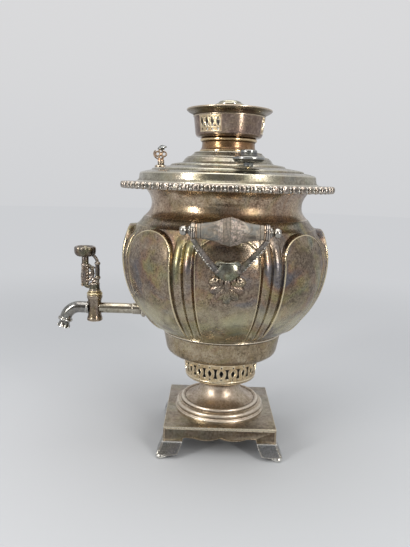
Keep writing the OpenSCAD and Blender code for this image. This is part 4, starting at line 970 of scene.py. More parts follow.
# --- plinth, feet and pedestal
@dataclass
class Base:
    """Square plinth with a lobed apron, four bracket feet and the round pedestal."""

    side: float = 147
    height: float = 20.5
    sheet: float = 1.8
    foot_h: float = 21
    foot_w: float = 25
    flare: float = 9.5
    lobe_w: float = 36
    lobe_drop: float = 3.6
    arch_h: float = 4.8
    pedestal_r: float = 62
    neck_r: float = 27

    @property
    def top(self) -> float:
        """Height of the plinth's top."""
        return self.foot_h + self.height

    def build(self, shop: Workshop) -> None:
        """Makes every piece of the base.

        Args:
            shop: the workshop that finishes the pieces.
        """
        shop.piece("plinth_top", self.cover(), "top", ["plinth"], gain=1.4)
        shop.piece("plinth_apron", self.aprons(), "apron", ["plinth"])
        names = {"front_right": (1, -1), "front_left": (-1, -1), "back_right": (1, 1), "back_left": (-1, 1)}
        for name, (sx, sy) in names.items():
            foot = placed(self.foot(), Matrix.Diagonal((sx, sy, 1, 1)))
            shop.piece("bracket_foot_" + name, foot, "steel", ["foot_" + name])
        shop.piece("pedestal_trumpet", self.pedestal(), "satin", ["pedestal"])

    def apron_outline(self) -> Outline:
        """Outline of one side of the plinth, with its two lobes."""
        half = self.side / 2
        edge = half - self.foot_w
        round_r = 4
        arch = self.foot_h + self.arch_h
        lobe_r = (self.lobe_w ** 2 / 4 + self.lobe_drop ** 2) / (2 * self.lobe_drop)
        centre_z = arch - self.lobe_drop + lobe_r
        reach = degrees(asin(self.lobe_w / 2 / lobe_r))
        right = arc((self.lobe_w / 2, centre_z), lobe_r, -90 - reach, -90 + reach, 12)
        left = arc((-self.lobe_w / 2, centre_z), lobe_r, -90 - reach, -90 + reach, 12)
        low = arc((edge - round_r, arch - round_r), round_r, 90, 0, 6)
        start = arc((-edge + round_r, arch - round_r), round_r, 180, 90, 6)
        return ([(-half, self.foot_h), (-edge, self.foot_h)] + start + left[1:] + right[1:] + low
                + [(edge, self.foot_h), (half, self.foot_h), (half, self.top - 3), (-half, self.top - 3)])

    def cover(self) -> Mesh:
        """The top plate with its proud rounded edge and a thin wire under it."""
        half = self.side / 2
        parts = [block((self.side, self.side, 3.2), (0, 0, self.top - 1.6), 0.9)]
        wire = [(-half + 0.9, -half + 0.9, self.top - 3.9), (half - 0.9, -half + 0.9, self.top - 3.9)]
        parts.append(copies(tube(wire, 0.8, smooth=False), [turn_z(90 * i) for i in range(4)]))
        return joined(parts)

    def aprons(self) -> Mesh:
        """The four lobed sides, each a flat plate with thin wires along its lobes and corners."""
        half = self.side / 2
        side = pierced_plate([self.apron_outline()], self.sheet, 0.35)
        arch = self.foot_h + self.arch_h
        reach = half - self.foot_w - 1
        wires = []
        for x in (-self.lobe_w / 2, self.lobe_w / 2):
            lobe = [(x + self.lobe_w * (t / 12 - 0.5) * 0.97, arch - self.lobe_drop * sin(pi * t / 12) + 1.3,
                     self.sheet / 2) for t in range(13)]
            wires.append(tube(lobe, 0.55, sides=2, smooth=False))
        for sign in (-1, 1):
            corner = [(sign * self.lobe_w * 0.99, arch + 1.3, self.sheet / 2),
                      (sign * reach, arch + 0.9, self.sheet / 2),
                      (sign * (reach + 1.4), self.foot_h + 1, self.sheet / 2)]
            wires.append(tube(corner, 0.55, sides=2, smooth=False))
        whole = joined([side, *wires])
        placed(whole, shift(0, -half + self.sheet / 2 + 0.55, 0) @ turn_x(90))
        return copies(whole, [turn_z(90 * i) for i in range(4)])

    def foot(self) -> Mesh:
        """One bracket foot at the corner towards +X and +Y: two flared faces, a top bead and scroll toes."""
        half = self.side / 2
        edge = half - self.foot_w
        wall = bmesh.new()
        bmesh.ops.create_grid(wall, x_segments=14, y_segments=12, size=0.5)

        def bent(co: Vector) -> Vector:
            """Place of a grid point on the flared outside face that looks along +Y."""
            across, up = co.x + 0.5, co.y + 0.5
            low = 5.4 - 1.2 * sin(pi * across)
            z = low + (self.foot_h - low) * up
            out = half + self.flare * (1 - z / self.foot_h) ** 1.3
            inner = edge + 6.5 * (1 - up) ** 1.4
            return Vector((inner + (out - inner) * across, out, z))

        moved(wall, bent)
        bmesh.ops.recalc_face_normals(wall, faces=wall.faces)
        bmesh.ops.solidify(wall, geom=wall.faces, thickness=1.8)
        other = wall.copy()
        placed(other, Matrix(((0, 1, 0, 0), (1, 0, 0, 0), (0, 0, 1, 0), (0, 0, 0, 1))))
        bead_y = half + 0.5
        level = self.foot_h - 0.8
        beads = [tube([(edge, bead_y, level), (bead_y, bead_y, level)], 1, smooth=False),
                 tube([(bead_y, edge, level), (bead_y, bead_y, level)], 1, smooth=False)]
        centre = half + self.flare - 7
        toe = turned_solid([(0, 0), (5.2, 0), (6.7, 1.6), (6.9, 3.4), (5.8, 5.4), (4.2, 6.8), (0, 7.6)], 1.2,
                           28)
        placed(toe, shift(centre, centre, 0))
        scrolls = []
        for swap in (False, True):
            curl = [(centre - 5.6 + 3 * (1 - t / 10) * cos(0.9 * t), centre + 5.2 - 0.25 * t,
                     3.9 + 3 * (1 - t / 10) * sin(0.9 * t)) for t in range(10)]
            curl = [(y, x, z) for x, y, z in curl] if swap else curl
            scrolls.append(tube(curl, 0.9, sides=2))
        return joined([wall, other, *beads, toe, *scrolls])

    def pedestal(self) -> Mesh:
        """The stepped round foot and the trumpet under the gallery."""
        r, neck = self.pedestal_r, self.neck_r
        outside = [(r, 0), (r, 2.6), (r - 1.2, 3.8), (r - 1.6, 4.4)]
        outside += arc((r - 5, 7.8), 3.4, -48, 95, 8)
        outside += [(r - 6.4, 11.6), (r - 8.2, 12.2)]
        outside += arc((r - 10.3, 14), 2.2, -30, 95, 6)
        outside += [(r - 12.4, 15.6), (r - 13.6, 14.9)]
        outside += cubic((r - 13.6, 14.9), (r - 24, 16.2), (neck + 1, 24), (neck, 36.5), 22)
        outside += cubic((neck, 36.5), (neck, 40.5), (32, 40.5), (32, 43.4), 8)
        outside += [(32, 44.5)]
        inside = [(neck - 2, 44.5), (neck - 2, 36), (neck + 2, 26), (r - 30, 14), (r - 5, 2), (r - 5, 0)]
        return turned_ring(raised(outside + inside, self.top), 0.5, 112)


# --- pierced gallery
@dataclass
class Piercing:
    """The repeating pattern of ovals in frames with hourglass holes between."""

    pitch: float
    oval: Point
    frame_w: float
    glass: tuple[float, float, float]
    dot: float
    dot_out: float
    band: Point
    depth: float = 1.6

    def holes(self, x: float) -> list[Outline]:
        """Holes of one oval and its two dots, at x.

        Args:
            x: where its middle is along the band.

        Returns:
            Their outlines.
        """
        middle = sum(self.band) / 2
        return [pointed_oval(*self.oval, centre=(x, middle)), circle(self.dot, (x, middle + self.dot_out), 8),
                circle(self.dot, (x, middle - self.dot_out), 8)]

    def hourglass(self, x: float) -> Outline:
        """Outline of the hourglass hole at x.

        Args:
            x: where its middle is along the band.

        Returns:
            The closed outline.
        """
        height, wide, waist = self.glass
        middle = sum(self.band) / 2
        right = [(wide / 2, -height / 2), (wide / 2 - 0.2, -height / 2 + 1.2)]
        right += cubic(right[-1], (waist / 2, -height / 5), (waist / 2, -height / 8), (waist / 2, 0), 4)
        right += [(px, -py) for px, py in reversed(right[:-1])]
        points = right + [(-px, -py) for px, py in right]
        return [(px + x, py + middle) for px, py in points]

    def unit(self) -> Mesh:
        """One pitch of the band, flat, with its raised oval frame."""
        half = self.pitch / 2
        low, high = self.band
        outer = [(-half - 3, low), (half + 3, low), (half + 3, high), (-half - 3, high)]
        glasses = [self.hourglass(-half), self.hourglass(half)]
        plate = pierced_plate([outer, *self.holes(0), *glasses], self.depth, 0.22)
        sliced(plate, -half, half, 6, trim=True)
        ring = pointed_oval(self.oval[0] + self.frame_w, self.oval[1] + 1.3 * self.frame_w,
                            (0, (low + high) / 2), 12)
        rim = tube([(x, y, self.depth / 2) for x, y in ring + ring[:1]], self.frame_w * 0.36, sides=1,
                   smooth=False)
        return joined([plate, rim])


@dataclass
class Gallery:
    """The pierced band between the pedestal and the bowl, with the ash pan behind it."""

    foot_z: float = 86
    top_z: float = 121
    foot_r: float = 48.5
    top_r: float = 51.3
    roll: float = 4
    sheet: float = 1.6
    count: int = 20
    middle_z: float = 105.2
    band_h: float = 23.6

    def radius(self, z: float) -> float:
        """Outside radius of the band at height z."""
        low = self.foot_z + self.roll
        return self.foot_r + (self.top_r - self.foot_r) * (z - low) / (self.top_z - 1 - low)

    def build(self, shop: Workshop) -> None:
        """Makes the gallery and dresses the ash pan.

        Args:
            shop: the workshop that finishes the pieces.
        """
        low, high = self.middle_z - self.band_h / 2, self.middle_z + self.band_h / 2
        mean = self.radius(self.middle_z)
        pitch = 2 * pi * mean / self.count
        pattern = Piercing(pitch, (4.8, 9.4), 1.5, (13.6, 5.4, 2.4), 1.1, 8.3, (low, high), self.sheet)
        unit = rolled(pattern.unit(), mean, lambda z: self.radius(z) - self.sheet / 2)
        band = copies(unit, [turn_z(360 * i / self.count) for i in range(self.count)])
        bmesh.ops.remove_doubles(band, verts=band.verts, dist=0.02)
        z, t = self.foot_z, self.sheet
        lower = [(28, z), (40, z + 0.3), (45.6, z + 2.3)] + arc((self.foot_r - 2.2, z + 4.9), 2.2, -70, 8, 6)
        lower += [(self.radius(low - 1.4) + 0.5, low - 1.2), (self.radius(low) + 0.4, low - 0.2),
                  (self.radius(low) - 0.1, low + 0.4), (self.radius(low) - t, low + 0.4),
                  (self.foot_r - 2.4, z + 5), (self.foot_r - 4.6, z + 3.9), (38, z + t), (28, z + t)]
        top = self.top_z
        upper = [(self.radius(high) - t, high - 0.3), (self.radius(high) + 0.4, high - 0.3),
                 (self.radius(high) + 0.6, high + 0.5), (self.radius(high) + 0.2, high + 1),
                 (self.top_r - 0.2, top - 1.4), (self.top_r + 0.2, top - 0.9), (self.top_r, top),
                 (self.top_r - t, top)]
        whole = joined([band, turned_ring(lower, 0.4, 88), turned_ring(upper, 0.3, 88)])
        shop.piece("pierced_gallery", whole, "pale", ["gallery"], gain=0.8)
        shop.keep("ash_pan", "iron")


# --- vessel
class Part(Enum):
    """Where a column of the fluted wall runs."""

    PANEL = "panel"
    GROUND = "ground"
    RIB = "rib"


@dataclass
class Vessel:
    """The bowl, the fluted wall, the throat, the rim plate and the row of beads."""

    bowl_z: float = 121
    foot_z: float = 158
    wall_h: float = 187
    throat_up: float = 152
    bowl_r: float = 79.5
    waist_r: float = 82.5
    belly: Point = (138, 100)
    shoulder: Point = (128.5, 140)
    neck: Point = (99.5, 168)
    mouth_r: float = 108.5
    panels: int = 8
    panel_half: float = 16.4
    panel_raise: float = 4.2
    shoulder_dip: float = 5
    arch_up: float = 27
    flute_foot: float = 2
    flute_full: float = 24
    flute_fade: float = 12
    rib_raise: float = 4
    rib_gap: float = 0.4
    sheet: float = 1.6
    rim_r: float = 140.5
    rim_t: float = 3
    beads: int = 68
    bead_in: float = 3.7
    bead_up: float = 3.95
    line: Outline = field(default_factory=list)

    def __post_init__(self) -> None:
        """Works out the outline of the middle of a panel, above the foot of the wall."""
        belly, shoulder, neck = self.belly, self.shoulder, self.neck
        line = [(self.waist_r, 0)]
        line += cubic(line[-1], (self.waist_r + 19.5, 9), (belly[0], 43), belly, 60)
        line += cubic(belly, (belly[0], belly[1] + 14), (shoulder[0] + 5, shoulder[1] - 11), shoulder, 30)
        line += cubic(shoulder, (shoulder[0] - 12.5, shoulder[1] + 7.5), (neck[0], shoulder[1] + 12), neck, 40)
        line += cubic(neck, (neck[0], neck[1] + 7), (self.mouth_r - 5.5, self.wall_h - 5),
                      (self.mouth_r, self.wall_h), 20)
        self.line = line

    def build(self, shop: Workshop) -> None:
        """Makes the vessel's outer pieces and dresses the fire tube and the grate.

        Args:
            shop: the workshop that finishes the pieces.
        """
        shop.piece("fluted_wall", self.wall(), "body", ["body_wall"], sharp=50, gain=1)
        shop.piece("waisted_throat", self.throat(), "throat", ["throat"])
        shop.piece("round_bowl", self.bowl(), "bowl", ["bowl"])
        shop.piece("rim_ring", self.rim(), "throat", ["rim_plate"])
        shop.piece("bead_blocks", self.bead_blocks(), "dark", ["bead_border"], gain=0.9)
        shop.piece("bead_pearls", self.bead_pearls(), "bright", ["bead_border"], gain=0.7)
        shop.keep("fire_tube", "iron")
        shop.keep("grate", "iron")

    def back_off(self, z: float) -> float:
        """How far the ground between the panels lies behind their middle line at height z.

        Args:
            z: height above the foot of the wall.

        Returns:
            The depth.
        """
        up = self.shoulder[1]
        foot = eased((z - self.flute_foot) / (self.flute_full - self.flute_foot))
        dip = eased((z - self.belly[1]) / (up - self.belly[1]))
        return (1 - eased((z - up) / self.flute_fade)) * (self.panel_raise * foot + self.shoulder_dip * dip)

    def arch_share(self, z: float) -> float:
        """Share of a panel's arch that lies below height z, from 0 at its springing to 1 at its top."""
        return min(max((z - self.shoulder[1] + self.arch_up) / self.arch_up, 0), 1)

    def panel_angle(self, z: float) -> float:
        """Half angle of a panel at height z, closing in a round arch."""
        t = self.arch_share(z)
        return self.panel_half * sqrt(max(1 - t * t, 0.0009))

    def columns(self) -> list[tuple[Part, float]]:
        """Part and share of each column of half a period, from the panel's middle to the rib's root."""
        panel = [0, .17, .34, .50, .64, .76, .85, .905, .935, .955, .972, .984, 1]
        ground = [0.12, 0.32, 0.55, 0.78, 0.93]
        rib = [0, 0.06, 0.12, 0.20, 0.31, 0.43, 0.56, 0.68, 0.78, 0.86, 0.92, 0.96, 1]
        return ([(Part.PANEL, s) for s in panel] + [(Part.GROUND, s) for s in ground]
                + [(Part.RIB, s) for s in rib])

    def panel_rise(self, share: float, z: float) -> float:
        """Rise of a panel above the ground, with a thin wire along its edge.

        Args:
            share: place across half the panel, 0 in its middle and 1 at its edge.
            z: height above the foot of the wall.

        Returns:
            The rise in millimetres.
        """
        arch = self.arch_share(z)
        reach = sqrt(share * share * (1 - arch * arch) + arch * arch)
        half_w = lofted_radius(self.line, z) * radians(self.panel_half)
        inside = (1 - reach) * (half_w + (self.arch_up - half_w) * arch * arch)
        if share >= 1 or z >= self.shoulder[1]:
            return 0
        foot = eased((z - self.flute_foot) / 6)
        wire = 0.75 * foot * exp(-((inside - 1.9) / 0.75) ** 2)
        step = eased(inside / 0.9)
        return self.back_off(z) * step * (1 - 0.13 * reach ** 2) + wire

    def relief(self, part: Part, share: float, z: float) -> tuple[float, float]:
        """Angle in degrees and rise above the ground of one column at height z.

        Args:
            part: the part of the wall that the column belongs to.
            share: place across that part, from 0 to 1.
            z: height above the foot of the wall.

        Returns:
            The angle and the rise.
        """
        half = self.panel_angle(z)
        rib_from = self.panel_half + self.rib_gap
        rib_w = 180 / self.panels - rib_from
        if part is Part.PANEL:
            return share * half, self.panel_rise(share, z)
        over = 1 - eased((z - self.shoulder[1]) / self.flute_fade)
        if part is Part.GROUND:
            return half + (rib_from - half) * share, -0.3 * sin(pi * share) * over
        low = min(max((z - self.flute_foot - 1.5) / 11, 0), 1)
        fade = sqrt(low * (2 - low)) * eased((self.shoulder[1] - 3 - z) / 14)
        across = min(max((share - 0.05) / 0.89, 0), 1)
        roll = sqrt(max(1 - (2 * across - 1) ** 2, 0)) ** 0.9
        ridge = 1.1 * exp(-((share - 1) / 0.035) ** 2)
        return rib_from + rib_w * share, fade * (self.rib_raise * roll + ridge)

    def levels(self) -> list[float]:
        """Heights of the rows of the wall, close where the relief changes fast."""
        arch_foot = self.shoulder[1] - self.arch_up
        rows = [0, 1.2, 2.4, 3.5, 4.2, 5, 6, 7.2, 8.6, 10.2, 12, 14, 16.5, 19.5, 23]
        rows += [23 + (arch_foot - 23) * i / 24 for i in range(1, 25)]
        rows += [arch_foot + self.arch_up * sin(pi / 2 * i / 18) for i in range(1, 19)]
        rows += [self.shoulder[1] + (self.throat_up - self.shoulder[1]) * i / 8 for i in range(1, 9)]
        return rows

    def wall(self) -> Mesh:
        """The outside of the fluted wall."""
        half = self.columns()
        period = [(part, share, -1) for part, share in reversed(half[1:])]
        period += [(part, share, 1) for part, share in half[:-1]]
        rows = self.levels()
        around = len(period) * self.panels
        bm = bmesh.new()
        bmesh.ops.create_grid(bm, x_segments=around, y_segments=len(rows) - 1, size=0.5)

        def bent(co: Vector) -> Vector:
            """Place on the wall of a point of the flat grid."""
            i = round((co.x + 0.5) * around)
            z = rows[round((co.y + 0.5) * (len(rows) - 1))]
            part, share, sign = period[i % len(period)]
            angle, rise = self.relief(part, share, z)
            turn = radians((i // len(period)) * 360 / self.panels + sign * angle)
            r = lofted_radius(self.line, z) - self.back_off(z) + rise
            return Vector((r * cos(turn), r * sin(turn), self.foot_z + z))

        return cleaned(moved(bm, bent), lambda at: Vector((at.x, at.y, 0)))

    def throat(self) -> Mesh:
        """The plain waist between the fluted wall and the rim, flaring into the mouth."""
        line = [(r, z) for r, z in self.line if z > self.throat_up + 0.1]
        line.insert(0, (lofted_radius(self.line, self.throat_up), self.throat_up))
        outside = raised(line, self.foot_z)
        inside = [(r - self.sheet, z) for r, z in reversed(outside)]
        return spun(outside + inside, 144)

    def bowl(self) -> Mesh:
        """The round bowl under the fluted wall, with a fine rolled lip."""
        height = self.foot_z - self.bowl_z
        low, high = (self.bowl_r - 3.1, height * 0.3), (self.bowl_r + 0.8, height * 0.84)
        rel = [(45.5, 0), (54, 0)]
        rel += cubic(rel[-1], (66, 0.6), (low[0] - 1.9, 3), low, 18)
        rel += cubic(low, (low[0] + 1.6, height * 0.54), (self.bowl_r, height * 0.76), high, 14)
        rel += cubic(high, (high[0] + 0.4, height - 3.5), (self.waist_r - 1.6, height - 3.2),
                     (self.waist_r - 0.7, height - 2.6), 6)
        rel += arc((self.waist_r - 0.7, height - 1.3), 1.3, -70, 80, 6) + [(self.waist_r - 0.6, height)]
        inside = [(r - self.sheet, h + (self.sheet if h < 2 else 0)) for r, h in reversed(rel)]
        return turned_ring(raised(rel + inside, self.bowl_z), 0.3, 144)

    def rim(self) -> Mesh:
        """The flat plate on the mouth."""
        z = self.foot_z + self.wall_h
        low = self.mouth_r - self.sheet - 2
        high = self.rim_r - 6.4
        return turned_ring([(low, z), (high, z), (high, z + self.rim_t), (low, z + self.rim_t)], 0.3, 128)

    @property
    def bead_place(self) -> Point:
        """Radius and height of the middle of the row of beads."""
        return self.rim_r - self.bead_in, self.foot_z + self.wall_h + self.bead_up

    def bead_blocks(self) -> Mesh:
        """The border's large blocks, each with a cleft in the shape of an M, on a narrow band."""
        centre, z = self.bead_place
        bead = ball((1, 1, 1), (0, 0, 0), 20, 14)

        def carved(co: Vector) -> Vector:
            """Squares a bead off and cuts its clefts."""
            x, y, h = (copysign(abs(v) ** 0.72, v) for v in co)
            front = max(co.x, 0)
            cleft = exp(-((abs(co.y) - 0.30 - 0.22 * co.z) / 0.13) ** 2) * (0.6 + 0.4 * co.z)
            return Vector((3.7 * x - 0.9 * front * cleft, 4.1 * y, 4.5 * h))

        moved(bead, carved)
        pitch = 360 / self.beads
        parts = [copies(placed(bead, shift(centre, 0, z)), [turn_z(pitch * i) for i in range(self.beads)])]
        band = [(centre - 3.7, z - 4.2), (centre - 0.4, z - 4.2), (centre + 0.8, z - 2.2),
                (centre + 0.8, z + 2.2), (centre - 0.4, z + 4.2), (centre - 3.7, z + 4.2)]
        parts.append(turned_ring(band, 0.5, 136))
        return joined(parts)

    def bead_pearls(self) -> Mesh:
        """The small bright pearls between the blocks, two in each gap."""
        centre, z = self.bead_place
        pearls = [ball((1.8, 1.9, 2), (centre + 0.9, 0, z + rise), 12, 8) for rise in (-1.9, 1.9)]
        pitch = 360 / self.beads
        return copies(joined(pearls), [turn_z(pitch * (i + 0.5)) for i in range(self.beads)])


# --- lid
@dataclass
class Lid:
    """The stepped lid with its two knobs and the steam vent."""

    seat_z: float = 348
    radius: float = 120.6
    steps: tuple[float, float, float] = (115.6, 99.4, 74.7)
    dome_r: float = 60.4
    height: float = 46.4
    land_r: float = 38.2
    hole_r: float = 32.2
    sheet: float = 1.6
    skirt_r: float = 103.9
    turn: float = 13
    knob_out: float = 93.5
    knob_r: float = 18.8
    vent_out: float = 89

    def build(self, shop: Workshop) -> None:
        """Makes the lid and its fittings.

        Args:
            shop: the workshop that finishes the pieces.
        """
        shop.piece("stepped_lid", self.shell(), "lid", ["lid"], "lid")
        shop.piece("lid_ring", self.skirt(), "lid", ["lid_skirt"], "lid")
        for name, angle in (("right", self.turn), ("left", self.turn + 180)):
            knob = placed(self.knob(), turn_z(angle) @ shift(self.knob_out, 0, 0))
            shop.piece("stepped_knob_" + name, knob, "knob", ["lid_knob_" + name], "lid")
        shop.keep("lid_knob_screws", "brass")
        place = turn_z(self.turn - 90) @ shift(self.vent_out, 0, 0)
        shop.piece("vent_tube", placed(self.vent_tube(), place), "bronze", ["vent_seat"], "lid")
        shop.piece("vent_loops", placed(self.vent_loops(), place), "copper", ["vent_key"], "vent_key")
        shop.piece("vent_cap", placed(self.vent_cap(), place), "knob", ["vent_key"], "vent_key")

    def line(self) -> Outline:
        """Outside of the lid above its seat, from the base band to the land of the crown."""
        big, (s1, s2, s3), dome, land = self.radius, self.steps, self.dome_r, self.land_r
        points = [(big, 0), (big, 5.2), (big - 0.5, 6.2), (big - 1.6, 6.8)]
        points += cubic(points[-1], (big - 3.6, 7.6), (s1 + 0.8, 9.5), (s1 + 0.6, 12), 8)
        points += [(s1, 16.5), (s1 - 1, 17.5)]
        points += cubic(points[-1], (s1 - 5, 18.8), (s2 + 6, 20.4), (s2 + 1, 20.7), 9)
        points += [(s2, 22.8), (s2 - 1, 23.3)]
        points += cubic(points[-1], (s2 - 9, 24.7), (s3 + 8, 26.2), (s3 + 1.8, 26.8), 12)
        points += [(s3, 28.9), (s3 - 1, 29.4), (dome + 1.4, 31.3), (dome, 31.6)]
        points += cubic(points[-1], (dome - 2.6, 33.2), (dome - 3, 37), (dome - 6.2, 38), 10)
        points += arc((dome - 7.4, 38.3), 1.1, -10, 190, 6)[1:-1]
        points += cubic((dome - 8.8, 38.5), (dome - 9.4, 38.7), (land + 8, 42.8), (land + 6.6, 44), 9)
        points += arc((land + 5.4, 44.5), 1, -10, 190, 6)[1:-1]
        points += [(land + 4, 44.9), (land + 3.2, 45.8), (land, self.height)]
        return raised(points, self.seat_z)

    def shell(self) -> Mesh:
        """The lid's sheet."""
        s1, s2, s3 = self.steps
        big, dome, land, t = self.radius, self.dome_r, self.land_r, self.sheet
        under = [(self.hole_r, self.height - t), (land, self.height - t), (land + 4.7, self.height - 3.4),
                 (dome - 7.5, 36.9), (dome - 4.6, 35.2), (dome - 3.4, 32.4), (dome - 0.8, 30), (s3 - 1.5, 27.4),
                 (s3 + 0.6, 25.2), (s2 - 1.5, 21.3), (s2 - 0.4, 19.4), (s1 - 1.7, 15.6), (s1 - 0.9, 11.5),
                 (big - t, 5), (big - t, 0)]
        outline = self.line() + [(self.hole_r, self.seat_z + self.height)]
        return turned_ring(outline + raised(under, self.seat_z), 0.4, 160)

    def skirt(self) -> Mesh:
        """The ring inside the lid's foot, with the skirt that centres it in the mouth."""
        r, z, t = self.skirt_r, self.seat_z, self.sheet
        outline = [(r - t, z - 6), (r, z - 6), (r, z), (self.radius - t, z), (self.radius - t, z + t),
                   (r - t, z + t)]
        return turned_ring(outline, 0.3, 128)

    def knob(self) -> Mesh:
        """A stepped knob on a short stem: a wide disc, a drum and a dished top."""
        r = self.knob_r
        outline = [(0, 26), (5.8, 26), (5.8, 30.4), (12, 30.6), (r - 2.4, 31.2), (r - 1.4, 33.4),
                   (r - 0.2, 33.8), (r, 34.8), (r - 0.1, 36.2), (r - 1.2, 37), (12.6, 37.5), (10.3, 38.5),
                   (9.5, 40.4), (9.8, 42.6), (9.4, 44.4), (8, 45.1), (6.4, 44.9), (5.4, 44.2), (3.4, 44.1),
                   (2.2, 44.7), (0, 44.9)]
        return turned_solid(raised(outline, self.seat_z), 0.6, 56)

    def vent_tube(self) -> Mesh:
        """The vent's seat on the lid: a foot, a waist and a collar."""
        outline = [(2.5, 22), (8, 22.4), (7.9, 26), (6.2, 26.8), (4.4, 27.2), (4, 28.8), (4.5, 30.3),
                   (4.4, 31.2), (2.5, 31.3)]
        return turned_ring(raised(outline, self.seat_z), 0.4, 36)

    def vent_loops(self) -> Mesh:
        """The vent's key: a stem, a collar, two legs and an open fan of loops."""
        middle = 8.8
        parts = [turned_solid([(0, -5), (2.4, -5), (2.4, 0), (4.2, 0), (4.3, 1.6), (3, 2.6), (2.4, 3.4),
                               (0, 3.5)], 0.4, 24)]
        for x, rise, r in ((4.3, 0.4, 2.9), (-3.9, 0.4, 2.9), (0.2, -3.6, 2.2), (0.2, 4.2, 2.3)):
            ring = [(x + r * cos(a), 0, middle + rise + r * sin(a)) for a in [pi * k / 8 for k in range(17)]]
            parts.append(tube(ring, 1.05, sides=2, smooth=False))
        for side in (-1, 1):
            leg = [(side * 1.4, 0, 1.8), (side * 2.9, 0, 3.8), (side * 3.4, 0, 6.2)]
            parts.append(tube(leg, 1, [1.1, 1, 0.9], sides=2))
        parts.append(ball((1.8, 1.9, 1.8), (0.2, 0, middle + 0.4), 12, 8))
        leaf = [(3.2, 0, 2.4), (7.6, 0, 4.6), (9.6, 0, 8.4), (9, 0, 12), (7.2, 0, 13.4)]
        parts.append(tube(leaf, 1, [0.8, 1.1, 1.2, 1, 0.7], sides=2))
        return placed(joined(parts), shift(0, 0, self.seat_z + 31.4))

    def vent_cap(self) -> Mesh:
        """The small tilted cap over the loops."""
        outline = [(0, -2.4), (2.2, -2.2), (2.6, 0), (6, 0.4), (6.4, 1.2), (5.4, 2.4), (3, 3.8), (1.4, 4.3),
                   (1.2, 5), (0, 5.3)]
        cap = turned_solid(outline, 0.5, 32)
        return placed(cap, shift(-1.6, 0, self.seat_z + 47.2) @ turn_y(14))


